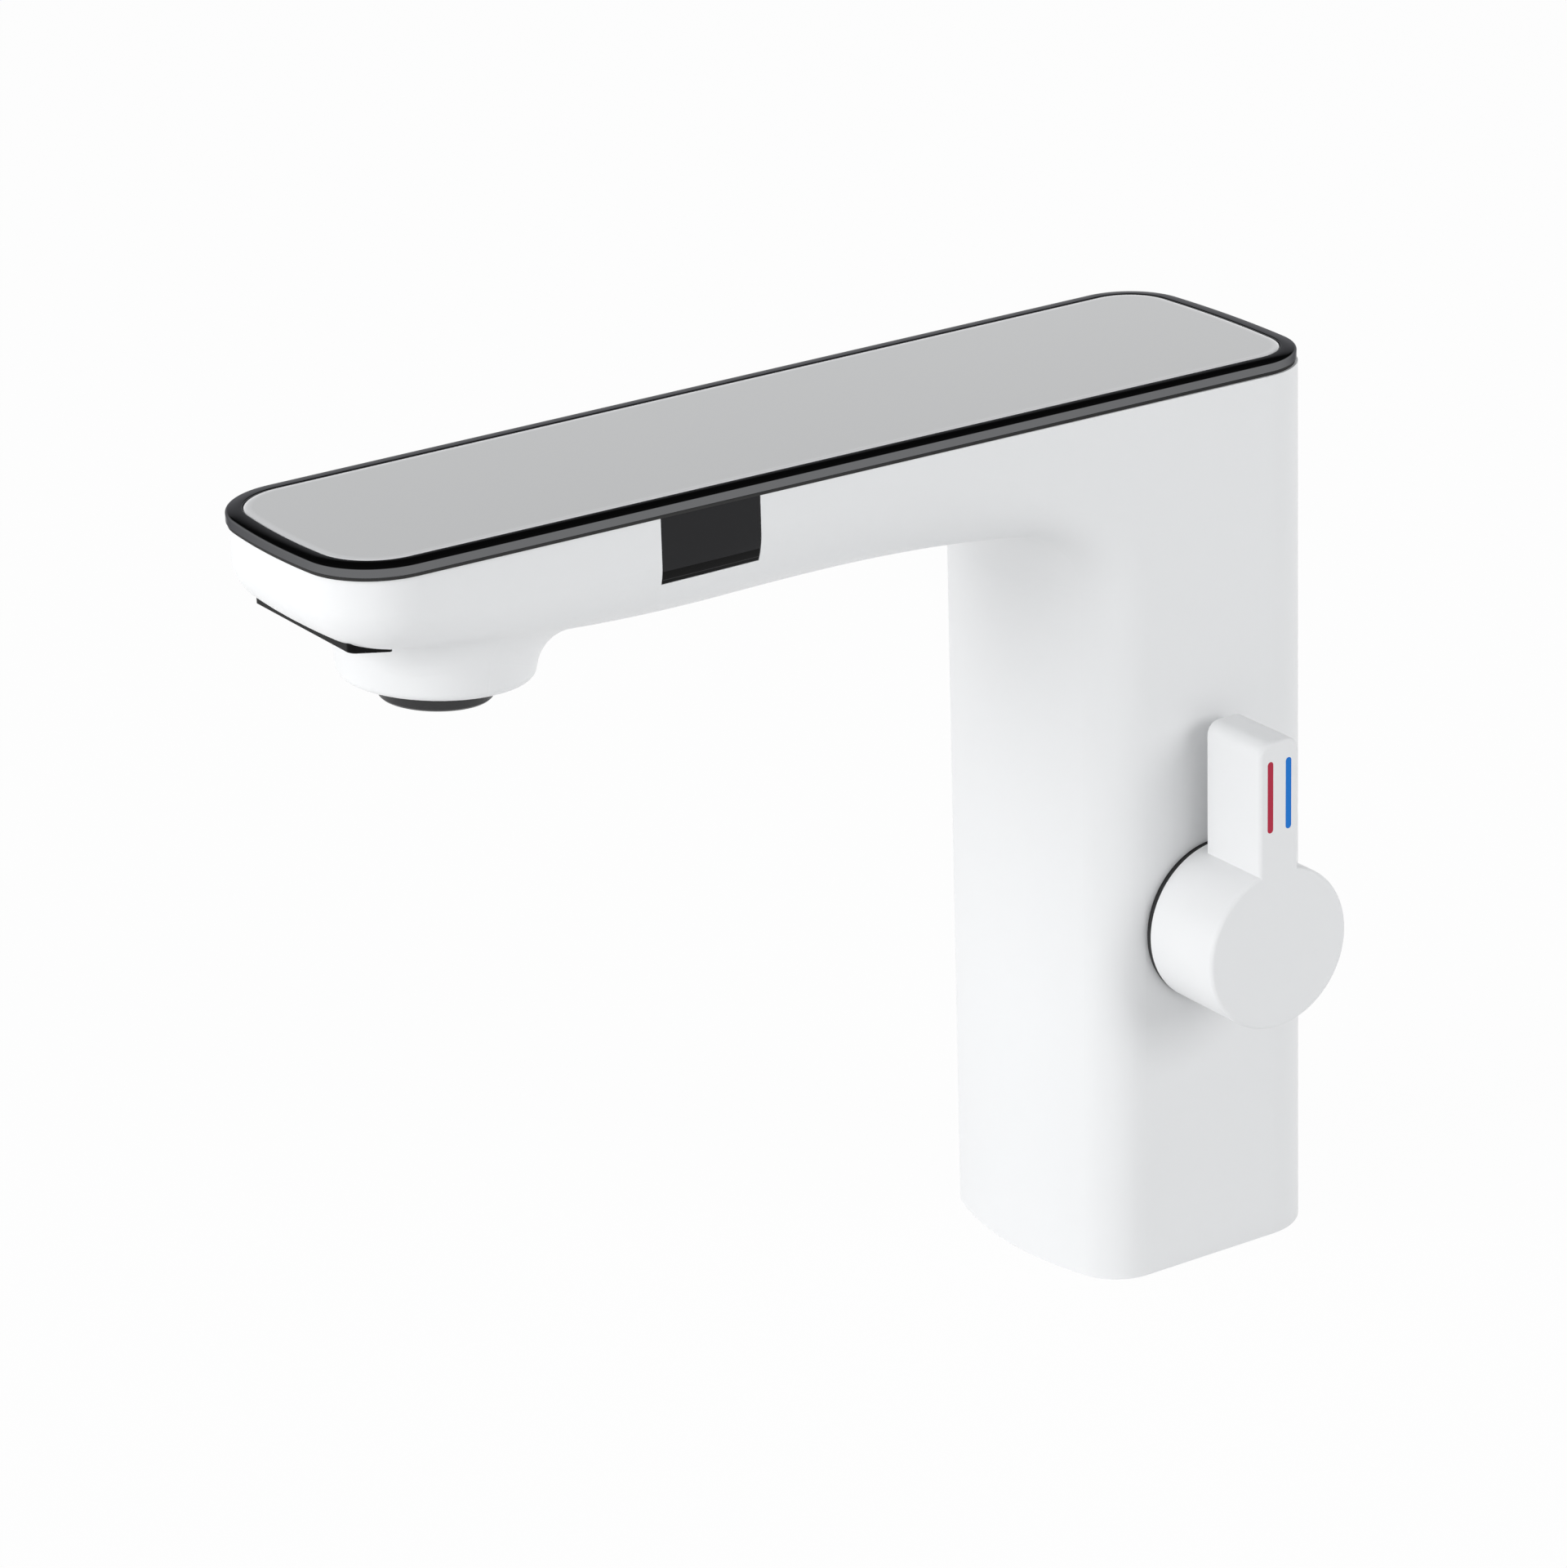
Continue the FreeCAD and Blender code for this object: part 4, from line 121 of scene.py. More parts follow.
def make_grain_group():
    """Fine grain of a coat or moulding: noise at two scales moves roughness and height."""
    group, given, made = new_group(
        "fine_grain",
        [("Grain", 900.0), ("Waves", 60.0), ("Roughness", 0.4), ("Spread", 0.08)],
        [("Roughness", "NodeSocketFloat"), ("Height", "NodeSocketFloat")])
    detail, broad_height = 2.0, 0.6
    place = object_place(group)
    fine = noise(group, place, given.outputs["Grain"], detail)
    broad = noise(group, place, given.outputs["Waves"], detail)
    drift = math_node(group, "MULTIPLY", math_node(group, "SUBTRACT", broad, NOISE_MEAN),
                      given.outputs["Spread"])
    group.links.new(math_node(group, "ADD", drift, given.outputs["Roughness"]),
                    made.inputs["Roughness"])
    swell = math_node(group, "MULTIPLY", broad, broad_height)
    group.links.new(math_node(group, "ADD", fine, swell), made.inputs["Height"])
    return group


def make_tone_group():
    """Slow drift between two close tones, with sparse fine specks of the second."""
    group, given, made = new_group(
        "tone_drift",
        [("Tone", (0.8, 0.8, 0.8, 1.0)), ("Second Tone", (0.7, 0.7, 0.7, 1.0)),
         ("Patches", 18.0), ("Specks", 0.15)],
        [("Colour", "NodeSocketColor")])
    patch_detail, patch_share = 3.0, 0.5
    speck_scale, speck_detail, speck_above = 1600.0, 1.0, 0.72
    place = object_place(group)
    broad = noise(group, place, given.outputs["Patches"], patch_detail)
    speckle = noise(group, place, speck_scale, speck_detail)
    dots = math_node(group, "GREATER_THAN", speckle, speck_above)
    share = math_node(group, "ADD", math_node(group, "MULTIPLY", broad, patch_share),
                      math_node(group, "MULTIPLY", dots, given.outputs["Specks"]))
    colour = mix_colour(group, share, given.outputs["Tone"], given.outputs["Second Tone"])
    group.links.new(colour, made.inputs["Colour"])
    return group


def make_drawn_group():
    """Drawn or turned metal: noise stretched along one direction, by the three stretches."""
    group, given, made = new_group(
        "drawn_lines",
        [("Along X", 1.0), ("Along Y", 1.0), ("Along Z", 1.0), ("Roughness", 0.3),
         ("Spread", 0.15)],
        [("Roughness", "NodeSocketFloat"), ("Height", "NodeSocketFloat")])
    line_scale, line_detail = 1500.0, 3.0
    split = group.nodes.new("ShaderNodeSeparateXYZ")
    joined = group.nodes.new("ShaderNodeCombineXYZ")
    group.links.new(object_place(group), split.inputs[0])
    for index, title in enumerate(("Along X", "Along Y", "Along Z")):
        group.links.new(math_node(group, "MULTIPLY", split.outputs[index],
                                  given.outputs[title]), joined.inputs[index])
    lines = noise(group, joined.outputs[0], line_scale, line_detail)
    drift = math_node(group, "MULTIPLY", math_node(group, "SUBTRACT", lines, NOISE_MEAN),
                      given.outputs["Spread"])
    group.links.new(math_node(group, "ADD", drift, given.outputs["Roughness"]),
                    made.inputs["Roughness"])
    group.links.new(lines, made.inputs["Height"])
    return group


FINE_GRAIN = make_grain_group()
TONE_DRIFT = make_tone_group()
DRAWN_LINES = make_drawn_group()


# ---------------------------------------------------------------- materials
POLISHED_DEPTH = 0.000002


def new_material(name, **settings):
    """A material with one Principled shader; settings are its sockets' uniform values."""
    material = bpy.data.materials.new(name)
    material.use_nodes = True
    tree = material.node_tree
    shader = tree.nodes["Principled BSDF"]
    for title, number in settings.items():
        shader.inputs[title.replace("_", " ")].default_value = number
    return material, tree, shader


def add_group(tree, group, values):
    """A shader group placed in a tree, with uniform values on its sockets."""
    node = tree.nodes.new("ShaderNodeGroup")
    node.node_tree = group
    for title, number in values.items():
        node.inputs[title].default_value = number
    return node


def add_bump(tree, shader, height, depth):
    """Raise the surface by a height socket, depth metres at full height."""
    bump = tree.nodes.new("ShaderNodeBump")
    bump.inputs["Distance"].default_value = depth
    tree.links.new(height, bump.inputs["Height"])
    tree.links.new(bump.outputs["Normal"], shader.inputs["Normal"])


def grained(name, tone, second, rough, spread, grain, depth, specks=0.1, patches=18.0, **settings):
    """Paint, plastic, rubber or ceramic: two close tones, and grain in gloss and height.

    rough and spread are the middle roughness and how far it drifts, grain is in waves per
    metre, and depth is the height of the grain in metres.
    """
    material, tree, shader = new_material(name, **settings)
    colour = add_group(tree, TONE_DRIFT, {"Tone": (*tone, 1.0), "Second Tone": (*second, 1.0),
                                          "Patches": patches, "Specks": specks})
    tree.links.new(colour.outputs["Colour"], shader.inputs["Base Color"])
    fine = add_group(tree, FINE_GRAIN, {"Grain": grain, "Roughness": rough, "Spread": spread})
    tree.links.new(fine.outputs["Roughness"], shader.inputs["Roughness"])
    add_bump(tree, shader, fine.outputs["Height"], depth)
    return material


def metal(name, tone, second, rough, spread, stretch, depth, **settings):
    """Bare or plated metal: drawn or turned lines in gloss and height.

    stretch scales the line noise along X, Y and Z, so a small number draws lines along
    that direction.  The other values are as for grained.
    """
    material, tree, shader = new_material(name, Metallic=1.0, **settings)
    colour = add_group(tree, TONE_DRIFT, {"Tone": (*tone, 1.0), "Second Tone": (*second, 1.0),
                                          "Patches": 60.0, "Specks": 0.05})
    tree.links.new(colour.outputs["Colour"], shader.inputs["Base Color"])
    lines = add_group(tree, DRAWN_LINES, {"Along X": stretch[0], "Along Y": stretch[1],
                                          "Along Z": stretch[2], "Roughness": rough,
                                          "Spread": spread})
    tree.links.new(lines.outputs["Roughness"], shader.inputs["Roughness"])
    add_bump(tree, shader, lines.outputs["Height"], depth)
    return material


def circuit_board(name):
    """Green solder resist over tracks, which the joints of a brick pattern draw."""
    track_height = 0.00003
    material, tree, shader = new_material(name, Roughness=0.32, Coat_Weight=0.3)
    tracks = tree.nodes.new("ShaderNodeTexBrick")
    tree.links.new(object_place(tree), tracks.inputs["Vector"])
    for title, number in (("Scale", 220.0), ("Mortar Size", 0.05), ("Brick Width", 0.9),
                          ("Row Height", 0.22), ("Color1", (0.008, 0.075, 0.03, 1.0)),
                          ("Color2", (0.006, 0.06, 0.025, 1.0)),
                          ("Mortar", (0.02, 0.13, 0.055, 1.0))):
        tracks.inputs[title].default_value = number
    tree.links.new(tracks.outputs["Color"], shader.inputs["Base Color"])
    add_bump(tree, shader, tracks.outputs["Fac"], track_height)
    return material


def touch_glass(name):
    """Back-painted light grey glass with a painted highlight along its bevel and ground edge, by
    the share the mesh carries.
    """
    paint, second_paint = (0.7, 0.703, 0.707, 1.0), (0.68, 0.683, 0.687, 1.0)
    # Painted highlight: a paler tone on the bevel and ground edge stands in for the light they
    # catch.
    painted_edge_highlight = (0.9, 0.9, 0.91, 1.0)
    material, tree, shader = new_material(name, IOR=1.5, Coat_Weight=0.6, Coat_Roughness=0.02)
    tone = add_group(tree, TONE_DRIFT, {"Tone": paint, "Second Tone": second_paint,
                                        "Patches": 9.0, "Specks": 0.0})
    edge = tree.nodes.new("ShaderNodeAttribute")
    edge.attribute_name = "edge_highlight_share"
    colour = mix_colour(tree, edge.outputs["Fac"], tone.outputs["Colour"], painted_edge_highlight)
    tree.links.new(colour, shader.inputs["Base Color"])
    fine = add_group(tree, FINE_GRAIN, {"Grain": 400.0, "Waves": 14.0, "Roughness": 0.12,
                                        "Spread": 0.05})
    tree.links.new(fine.outputs["Roughness"], shader.inputs["Roughness"])
    add_bump(tree, shader, fine.outputs["Height"], POLISHED_DEPTH)
    return material


def window_plastic(name):
    """Infrared-clear black plastic: charcoal face, with painted shade across the foot and a fine
    painted highlight line in it.

    The bands go by the height of the side window, as a share from its foot to its head.
    """
    # Painted shade: the black foot bands stand in for the shade of the window's recessed foot, and
    # the fine line is a painted highlight on its lower edge. The charcoal is the plastic's own
    # colour.
    painted_foot_shade, painted_line_highlight, charcoal, blue_lift = 0.002, 0.03, 0.022, 1.06
    bands_from = ((0.0, painted_foot_shade), (0.05, painted_line_highlight), (0.062, painted_foot_shade), (0.19, charcoal))
    material, tree, shader = new_material(name, Specular_IOR_Level=0.1)
    foot, head = (corner.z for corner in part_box("side_sensor_window"))
    split = tree.nodes.new("ShaderNodeSeparateXYZ")
    tree.links.new(object_place(tree), split.inputs[0])
    share = math_node(tree, "DIVIDE", math_node(tree, "SUBTRACT", split.outputs["Z"], foot),
                      head - foot)
    bands = tree.nodes.new("ShaderNodeValToRGB")
    bands.color_ramp.interpolation = "CONSTANT"
    tree.links.new(share, bands.inputs[0])
    for _ in range(len(bands_from) - len(bands.color_ramp.elements)):
        bands.color_ramp.elements.new(0.5)
    for stop, (start, tone) in zip(bands.color_ramp.elements, bands_from):
        stop.position = start
        stop.color = (tone, tone, blue_lift * tone, 1.0)
    tree.links.new(bands.outputs["Color"], shader.inputs["Base Color"])
    fine = add_group(tree, FINE_GRAIN, {"Grain": 500.0, "Roughness": 0.12, "Spread": 0.05})
    tree.links.new(fine.outputs["Roughness"], shader.inputs["Roughness"])
    add_bump(tree, shader, fine.outputs["Height"], POLISHED_DEPTH)
    return material


WHITE = (0.86, 0.865, 0.87)
# After the two tones: roughness, its spread, the grain or the stretch, and the depth.
MATERIALS = {
    "casting_paint": grained("casting_paint", WHITE, (0.835, 0.84, 0.845), 0.34, 0.06, 1400.0,
                             0.000006, specks=0.04, patches=12.0, IOR=1.48),
    "lever_paint": grained("lever_paint", WHITE, (0.84, 0.845, 0.85), 0.38, 0.06, 1400.0,
                           0.000006, specks=0.04, patches=20.0, IOR=1.48),
    "frame_metal": metal("frame_metal", (0.15, 0.152, 0.157), (0.135, 0.137, 0.142), 0.07, 0.04,
                         (1.0, 0.05, 1.0), 0.0000015, Specular_Tint=(0.4, 0.4, 0.41, 1.0)),
    "touch_glass": touch_glass("touch_glass"),
    "diffuser_film": grained("diffuser_film", (0.8, 0.8, 0.8), (0.76, 0.76, 0.77), 0.7, 0.1,
                             900.0, 0.00001),
    "circuit_board": circuit_board("circuit_board"),
    "black_moulding": grained("black_moulding", (0.02, 0.02, 0.021), (0.03, 0.03, 0.032), 0.55,
                              0.15, 1800.0, 0.00002),
    "sensor_window": window_plastic("sensor_window"),
    "sensor_eye": grained("sensor_eye", (0.01, 0.006, 0.012), (0.015, 0.01, 0.02), 0.1, 0.05,
                          700.0, 0.000003),
    "soft_rubber": grained("soft_rubber", (0.02, 0.02, 0.02), (0.035, 0.035, 0.034), 0.75, 0.15,
                           1500.0, 0.00003, specks=0.25),
    "steel_fixing": metal("steel_fixing", (0.58, 0.58, 0.57), (0.48, 0.49, 0.5), 0.3, 0.2,
                          (1.0, 1.0, 0.1), 0.00001),
    "stainless": metal("stainless", (0.6, 0.59, 0.57), (0.5, 0.5, 0.49), 0.28, 0.2,
                       (1.0, 1.0, 0.05), 0.00001),
    "aerator_metal": grained("aerator_metal", (0.014, 0.014, 0.015), (0.02, 0.02, 0.021), 0.3, 0.1,
                             900.0, 0.00001),
    "aerator_plastic": grained("aerator_plastic", (0.62, 0.63, 0.65), (0.55, 0.56, 0.58), 0.45,
                               0.1, 900.0, 0.00001),
    "raw_brass": metal("raw_brass", (0.72, 0.5, 0.22), (0.6, 0.42, 0.2), 0.3, 0.25,
                       (1.0, 1.0, 0.15), 0.00002),
    "hot_red": grained("hot_red", (0.48, 0.025, 0.06), (0.42, 0.02, 0.05), 0.3, 0.06, 900.0,
                       0.000004, specks=0.02, Specular_IOR_Level=0.2),
    "cold_blue": grained("cold_blue", (0.008, 0.19, 0.66), (0.007, 0.17, 0.58), 0.3, 0.06, 900.0,
                         0.000004, specks=0.02, Specular_IOR_Level=0.2),
    "seat_plastic": grained("seat_plastic", (0.02, 0.02, 0.021), (0.03, 0.03, 0.031), 0.5, 0.1,
                            900.0, 0.00001),
    "cartridge_plastic": grained("cartridge_plastic", (0.6, 0.62, 0.6), (0.52, 0.54, 0.52), 0.5,
                                 0.15, 1200.0, 0.00002, specks=0.2),
    "ceramic": grained("ceramic", (0.82, 0.8, 0.76), (0.78, 0.76, 0.72), 0.2, 0.08, 1500.0,
                       0.000004),
    "valve_plastic": grained("valve_plastic", (0.05, 0.05, 0.055), (0.08, 0.08, 0.085), 0.5,
                             0.2, 1400.0, 0.00003, specks=0.2),
    "coil_resin": grained("coil_resin", (0.02, 0.03, 0.11), (0.03, 0.04, 0.14), 0.35, 0.1,
                          900.0, 0.00001),
    "base_zinc": metal("base_zinc", (0.5, 0.5, 0.51), (0.4, 0.4, 0.42), 0.5, 0.2,
                       (1.0, 1.0, 1.0), 0.00004),
}


# ---------------------------------------------------------------- meshes
def mesh_piece(name, body, corners, faces, slot, smooth_below=40.0):
    """A piece from corner and face arrays, smooth except across edges past an angle."""
    mesh = bpy.data.meshes.new(name)
    mesh.from_pydata(np.asarray(corners, float).tolist(), [], faces)
    mesh.validate()
    mesh.shade_smooth()
    mesh.set_sharp_from_angle(angle=math.radians(smooth_below))
    piece = bpy.data.objects.new(name, mesh)
    bpy.context.scene.collection.objects.link(piece)
    mesh.materials.append(MATERIALS[slot])
    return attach(piece, body)


def grid_faces(rows, columns, wrap_rows=False, wrap_columns=False, start=0):
    """Quads of a rows by columns grid of corners, wrapped round where asked."""
    last_row = rows if wrap_rows else rows - 1
    last_column = columns if wrap_columns else columns - 1
    row, column = np.meshgrid(np.arange(last_row), np.arange(last_column), indexing="ij")
    next_row, next_column = (row + 1) % rows, (column + 1) % columns
    quads = np.stack([row * columns + column, next_row * columns + column,
                      next_row * columns + next_column, row * columns + next_column], axis=-1)
    return (quads.reshape(-1, 4) + start).tolist()


def arc(centre, radius, start, end, count):
    """Points of an arc, its angles in degrees."""
    turn = np.radians(np.linspace(start, end, count))
    return np.stack([centre[0] + radius * np.cos(turn), centre[1] + radius * np.sin(turn)], axis=1)


# ---------------------------------------------------------------- the frame's outline
TIP_HALF = 25.65 * MM
BACK_HALF = 27.67 * MM
TIP_Y = -179.35 * MM
BACK_Y = 25.25 * MM
TIP_CROWN = 130.0 * MM
BACK_CROWN = 211.0 * MM
TIP_CORNER = 14.1 * MM
BACK_CORNER = 12.2 * MM
LIP = 3.0 * MM
GLASS_GAP = 0.1 * MM
GLASS_DROP = 0.05 * MM
GLASS_THICK = 2.1 * MM
BAND = 2.2 * MM
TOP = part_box("top_frame")[1].z


def half_outline(crown_steps=16, corner_steps=28, side_steps=60):
    """Right-hand half of the frame's plan outline, tip to back, with outward directions.

    Each end is a large arc about a point on the middle line.  Its corner arc is tangent
    to it and to the straight side, so the corner's centre lies a corner radius inside
    the side and a crown radius less a corner radius from the crown's centre.
    """
    side = np.array([BACK_HALF - TIP_HALF, BACK_Y - TIP_Y])
    side /= np.linalg.norm(side)
    out = np.array([side[1], -side[0]])
    lean = math.degrees(math.atan2(out[1], out[0]))
    ends = []
    for sign, end, crown, corner in ((-1, TIP_Y, TIP_CROWN, TIP_CORNER),
                                     (1, BACK_Y, BACK_CROWN, BACK_CORNER)):
        middle = np.array([0.0, end - sign * crown])
        start = np.array([BACK_HALF, BACK_Y]) - corner * out
        reach = (start - middle) @ side
        spare = (start - middle) @ (start - middle) - (crown - corner) ** 2
        centre = start + (-reach + sign * math.sqrt(reach * reach - spare)) * side
        angle = math.degrees(math.atan2(centre[1] - middle[1], centre[0]))
        ends.append((middle, crown, centre, corner, angle))
    tip_middle, tip_crown, tip_centre, tip_corner, tip_angle = ends[0]
    back_middle, back_crown, back_centre, back_corner, back_angle = ends[1]
    runs = [arc(tip_middle, tip_crown, -90, tip_angle, crown_steps),
            arc(tip_centre, tip_corner, tip_angle, lean, corner_steps)[1:]]
    share = np.linspace(0, 1, side_steps)[1:, None]
    runs.append((1 - share) * (tip_centre + tip_corner * out)
                + share * (back_centre + back_corner * out))
    runs.append(arc(back_centre, back_corner, lean, back_angle, corner_steps)[1:])
    runs.append(arc(back_middle, back_crown, back_angle, 90, crown_steps)[1:])
    turns = np.concatenate([np.linspace(-90, tip_angle, crown_steps),
                            np.linspace(tip_angle, lean, corner_steps)[1:],
                            np.full(side_steps - 1, lean),
                            np.linspace(lean, back_angle, corner_steps)[1:],
                            np.linspace(back_angle, 90, crown_steps)[1:]])
    turns = np.radians(turns)
    return np.concatenate(runs), np.stack([np.cos(turns), np.sin(turns)], axis=1)


HALF_LINE, HALF_OUT = half_outline()
FLIP = np.array([-1.0, 1.0])
LINE = np.concatenate([HALF_LINE, (HALF_LINE * FLIP)[-2:0:-1]])
OUT = np.concatenate([HALF_OUT, (HALF_OUT * FLIP)[-2:0:-1]])


def carried_round(profile):
    """A profile of (inset, height) points carried round the frame's outline, as a grid.

    Each corner is the outline's point moved inwards by the inset, at the height.
    """
    plan = LINE[:, None, :] - profile[None, :, 0, None] * OUT[:, None, :]
    height = np.broadcast_to(profile[None, :, 1, None], plan.shape[:2] + (1,))
    return np.concatenate([plan, height], axis=2).reshape(-1, 3)


def cap(inset, height, columns=13):
    """Flat grid inside the outline: each row runs across from the left side to the right."""
    line = HALF_LINE - inset * HALF_OUT
    across = np.linspace(-1, 1, columns)
    x = line[:, None, 0] * across[None, :]
    y = np.broadcast_to(line[:, None, 1], x.shape)
    return np.stack([x, y, np.full_like(x, height)], axis=2).reshape(-1, 3), len(line), columns


# ---------------------------------------------------------------- touch glass and frame
def make_glass():
    """Touch glass: flat top and back, a polished bevel and a short ground edge.

    The rim's profile runs from the top over the bevel and down the edge to the back.  A
    flat grid closes the top and another the back.
    """
    start = LIP + GLASS_GAP
    top = TOP - GLASS_DROP
    bottom = top - GLASS_THICK
    rim = 1.7 * MM
    bevel, bevel_break, bevel_fall, bevel_drop = 0.45 * MM, 0.35, 0.07 * MM, 0.25 * MM
    back_bevel = 0.1 * MM
    profile = np.array([(start + rim, top), (start + 0.5 * rim, top), (start + bevel, top),
                        (start + bevel_break * bevel, top - bevel_fall),
                        (start, top - bevel_drop), (start, bottom + back_bevel),
                        (start + back_bevel, bottom)])
    # How much of the painted edge highlight each point of the profile takes.
    profile_highlight_share = np.array([0.0, 0.55, 1.0, 1.0, 1.0, 0.6, 0.0])
    corners = carried_round(profile)
    faces = grid_faces(len(LINE), len(profile), wrap_rows=True)
    # Share of painted edge highlight at each corner; the flat grids take none.
    edge = np.tile(profile_highlight_share, len(LINE))
    for inset, height, turned_over in ((profile[0][0], top, True), (profile[-1][0], bottom, False)):
        flat, rows, columns = cap(inset, height)
        quads = grid_faces(rows, columns, start=len(corners))
        faces += [quad[::-1] for quad in quads] if turned_over else quads
        corners = np.concatenate([corners, flat])
        edge = np.concatenate([edge, np.zeros(len(flat))])
    piece = mesh_piece("touch_glass", "tap_body", corners, faces, "touch_glass", 50.0)
    attribute = piece.data.attributes.new("edge_highlight_share", "FLOAT", "POINT")
    attribute.data.foreach_set("value", edge.astype(np.float32))
    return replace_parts(piece, "glass_panel")


def make_frame():
    """Frame round the glass: upright band, rounded shoulder and a lip that falls outwards.

    The profile runs from the band's top round the shoulder arc and the lip's small arc,
    down beside the glass, over the ledge that carries it, and round the skirt to the
    band's foot.
    """
    foot = TOP - BAND
    fall = 0.22 * MM
    shoulder, shoulder_steps = 0.6 * MM, 14
    lip_round, lip_steps = 0.2 * MM, 6
    ledge, ledge_thick = LIP + 1.4 * MM, 1.2 * MM
    glass_seat = TOP - GLASS_DROP - GLASS_THICK
    ledge_foot = glass_seat - ledge_thick
    skirt_out, skirt_in, skirt_foot = 3.1 * MM, 4.4 * MM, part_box("top_frame")[0].z
    foot_bevel = 0.12 * MM
    outer = arc((shoulder, TOP - fall - shoulder), shoulder, 180, 100, shoulder_steps)
    lip_end = arc((LIP - lip_round, TOP - lip_round), lip_round, 95, 0, lip_steps)
    rest = np.array([(LIP, glass_seat), (ledge, glass_seat), (ledge, ledge_foot),
                     (skirt_in, ledge_foot), (skirt_in, skirt_foot), (skirt_out, skirt_foot),
                     (skirt_out, foot), (foot_bevel, foot), (0.0, foot + foot_bevel)])
    profile = np.concatenate([outer, lip_end, rest])
    corners = carried_round(profile)
    faces = grid_faces(len(LINE), len(profile), wrap_rows=True, wrap_columns=True)
    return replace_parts(mesh_piece("glass_frame", "tap_body", corners, faces, "frame_metal", 35.0),
                       "top_frame")


def make_gap_shade_strip():
    """Black strip that fills the gap between the frame's band and the casting's rim, as painted
    shade of that gap.

    Its profile is a rectangle between two insets, carried round the frame's outline.
    """
    band_foot, rim = TOP - BAND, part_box("body_casting")[1].z
    outside, inside = 0.3 * MM, 2.9 * MM
    # Painted shade: a dark fill in place of the shade that the narrow gap holds.
    profile = np.array([(outside, band_foot), (outside, rim), (inside, rim), (inside, band_foot)])
    faces = grid_faces(len(LINE), len(profile), wrap_rows=True, wrap_columns=True)
    mesh_piece("gap_shade_strip", "tap_body", carried_round(profile), faces, "soft_rubber")


def make_spring(turns=6, wire=0.35 * MM, steps=240, sides=10):
    """Plunger spring: a round wire on a helix.

    The wire's centre climbs evenly as it turns.  Each ring of corners lies in the plane
    of the outward direction and the spring's axis.  wire is the wire's radius.
    """
    low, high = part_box("plunger_spring")
    middle = (low + high) / 2
    radius = (high.y - low.y) / 2 - wire
    around = np.linspace(0, 2 * math.pi, sides, endpoint=False)
    turn = np.linspace(0, 2 * math.pi * turns, steps)[:, None]
    height = np.linspace(low.z + wire, high.z - wire, steps)[:, None]
    reach = radius + wire * np.cos(around)[None, :]
    corners = np.stack([middle.x + reach * np.cos(turn), middle.y + reach * np.sin(turn),
                        height + wire * np.sin(around)[None, :]], axis=2).reshape(-1, 3)
    faces = [face[::-1] for face in grid_faces(steps, sides, wrap_columns=True)]
    faces.append(list(range(sides)))
    faces.append(list(range(steps * sides - 1, (steps - 1) * sides - 1, -1)))
    spring = mesh_piece("coiled_spring", "tap_body", corners, faces, "stainless", 50.0)
    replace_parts(spring, "plunger_spring")
    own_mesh(spring)


make_glass()
make_frame()
make_gap_shade_strip()
make_spring()


# ---------------------------------------------------------------- the carried-over nodes
def dress_nodes():
    """Every node that no piece here replaces gets the material of its slot."""
    slots = {row["node"]: row["material_slot"] for row in frame["record"]["subparts"]}
    for name, node in frame["nodes"].items():
        if node.hide_render:
            continue
        node.data.materials.clear()
        node.data.materials.append(MATERIALS[slots[name]])


dress_nodes()


# ---------------------------------------------------------------- studio
def seen_rays(tree, paths):
    """1 for a ray from the camera, a glossy reflection or a transmission, otherwise 0."""
    bent = math_node(tree, "MAXIMUM", paths.outputs["Is Glossy Ray"],
                     paths.outputs["Is Transmission Ray"])
    return math_node(tree, "MAXIMUM", paths.outputs["Is Camera Ray"], bent)


def blend_surfaces(tree, share, first, second, output):
    """Send the mix of two shader nodes, the second at share 1, to the tree's output node."""
    blend = tree.nodes.new("ShaderNodeMixShader")
    tree.links.new(share, blend.inputs[0])
    tree.links.new(first.outputs[0], blend.inputs[1])
    tree.links.new(second.outputs[0], blend.inputs[2])
    tree.links.new(blend.outputs[0], tree.nodes[output].inputs["Surface"])


def make_floor():
    """Pale floor; the camera and reflections see it close to white, with a faint shadow."""
    half = 6.0
    paint, glow_share = (0.85, 0.85, 0.85, 1.0), 0.96
    mesh = bpy.data.meshes.new("floor")
    mesh.from_pydata([(-half, -half, 0), (half, -half, 0), (half, half, 0), (-half, half, 0)], [],
                     [(0, 1, 2, 3)])
    floor = bpy.data.objects.new("floor", mesh)
    bpy.context.scene.collection.objects.link(floor)
    material, tree, shader = new_material("floor_white", Roughness=0.9, Base_Color=paint,
                                          Specular_IOR_Level=0.0)
    glow = tree.nodes.new("ShaderNodeEmission")
    seen = seen_rays(tree, tree.nodes.new("ShaderNodeLightPath"))
    blend_surfaces(tree, math_node(tree, "MULTIPLY", seen, glow_share), shader, glow,
                   "Material Output")
    mesh.materials.append(material)


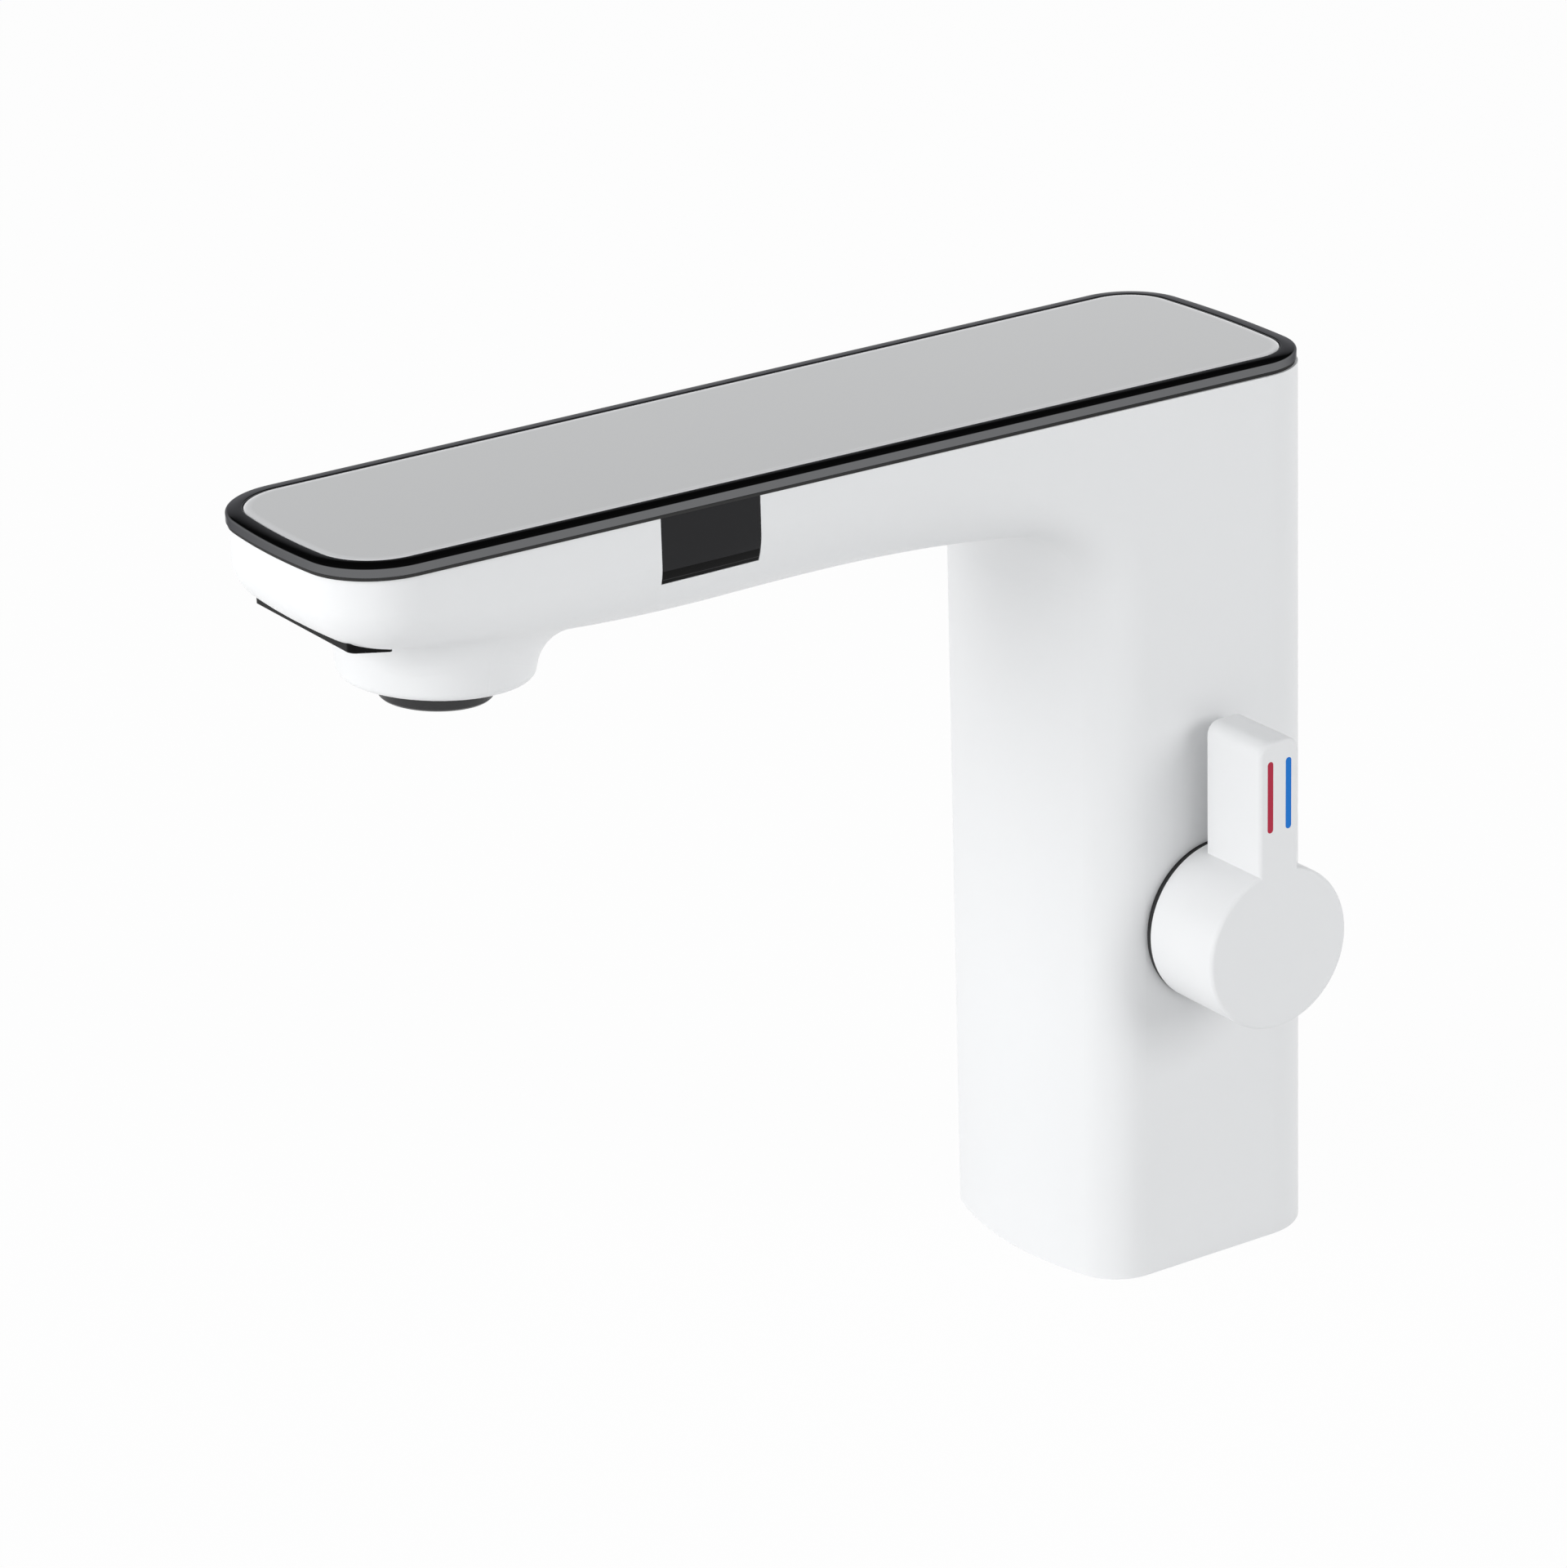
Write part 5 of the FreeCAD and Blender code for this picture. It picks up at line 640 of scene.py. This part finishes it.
def make_world():
    """White for the camera, white that darkens upwards for reflections, and soft grey fill.

    The darkening goes by the upward part of the ray's direction.
    """
    white, dark = (1.0, 1.0, 1.0, 1.0), (0.02, 0.02, 0.02, 1.0)
    white_until, dark_from = 0.22, 0.42
    fill_colour, fill_strength = (0.97, 0.985, 1.0, 1.0), 0.5
    world = bpy.data.worlds.new("studio")
    bpy.context.scene.world = world
    world.use_nodes = True
    tree = world.node_tree
    fill = tree.nodes["Background"]
    fill.inputs["Color"].default_value = fill_colour
    fill.inputs["Strength"].default_value = fill_strength
    backdrop = tree.nodes.new("ShaderNodeBackground")
    height = tree.nodes.new("ShaderNodeSeparateXYZ")
    tree.links.new(tree.nodes.new("ShaderNodeTexCoord").outputs["Generated"], height.inputs[0])
    ramp = tree.nodes.new("ShaderNodeValToRGB")
    tree.links.new(height.outputs["Z"], ramp.inputs[0])
    for stop, place, colour in zip(ramp.color_ramp.elements, (white_until, dark_from),
                                   (white, dark)):
        stop.position = place
        stop.color = colour
    paths = tree.nodes.new("ShaderNodeLightPath")
    shown = mix_colour(tree, paths.outputs["Is Camera Ray"], ramp.outputs["Color"], white)
    tree.links.new(shown, backdrop.inputs["Color"])
    blend_surfaces(tree, seen_rays(tree, paths), fill, backdrop, "World Output")


def add_softbox(name, place, aim, side, watts):
    """A square lamp turned to its aim, which reflections don't show; side in metres."""
    lamp = bpy.data.lights.new(name, "AREA")
    lamp.shape = "RECTANGLE"
    lamp.size = side
    lamp.size_y = side
    lamp.energy = watts
    box = bpy.data.objects.new(name, lamp)
    box.location = place
    box.rotation_mode = "QUATERNION"
    box.rotation_quaternion = (Vector(aim) - Vector(place)).to_track_quat("-Z", "Y")
    box.visible_glossy = False
    bpy.context.scene.collection.objects.link(box)


def make_camera():
    """Camera from the photograph's viewing angle, by its turn, rise, roll and distance.

    The aim is a point of the part, and aim_pixel is where the photograph shows it.  The
    focal length and the photograph's width and height are in pixels too.
    """
    turn, rise, roll = (math.radians(angle) for angle in (56.796, 21.378, -1.795))
    distance = 1031.165 * MM
    aim = Vector((0, -80 * MM, 90 * MM))
    focal = 6963.5
    aim_pixel = (948.733, 1066.0)
    frame_width, frame_height = 1919, 1920
    back = Vector((math.sin(turn) * math.cos(rise), -math.cos(turn) * math.cos(rise),
                   math.sin(rise)))
    level = Vector((math.cos(turn), math.sin(turn), 0))
    upright = back.cross(level)
    right = math.cos(roll) * level + math.sin(roll) * upright
    up = math.cos(roll) * upright - math.sin(roll) * level
    across = (aim_pixel[0] - frame_width / 2) * distance / focal
    above = -(aim_pixel[1] - frame_height / 2) * distance / focal
    place = aim - (across * right + above * up - distance * back)
    data = bpy.data.cameras.new("photo_camera")
    data.sensor_width = 36.0
    data.lens = focal / frame_height * data.sensor_width
    data.clip_start = 0.05
    data.clip_end = 20.0
    camera = bpy.data.objects.new("photo_camera", data)
    camera.matrix_world = Matrix((
        (right.x, up.x, back.x, place.x), (right.y, up.y, back.y, place.y),
        (right.z, up.z, back.z, place.z), (0, 0, 0, 1)))
    bpy.context.scene.collection.objects.link(camera)
    bpy.context.scene.camera = camera


make_floor()
make_world()
make_camera()
TAP_MIDDLE = (0.0, -0.07, 0.1)
add_softbox("front_softbox", (-0.1, -2.1, 0.7), TAP_MIDDLE, side=1.5, watts=29.5)
add_softbox("side_softbox", (1.9, 1.0, 0.8), TAP_MIDDLE, side=1.2, watts=15.0)
bpy.context.scene.view_settings.view_transform = "Standard"
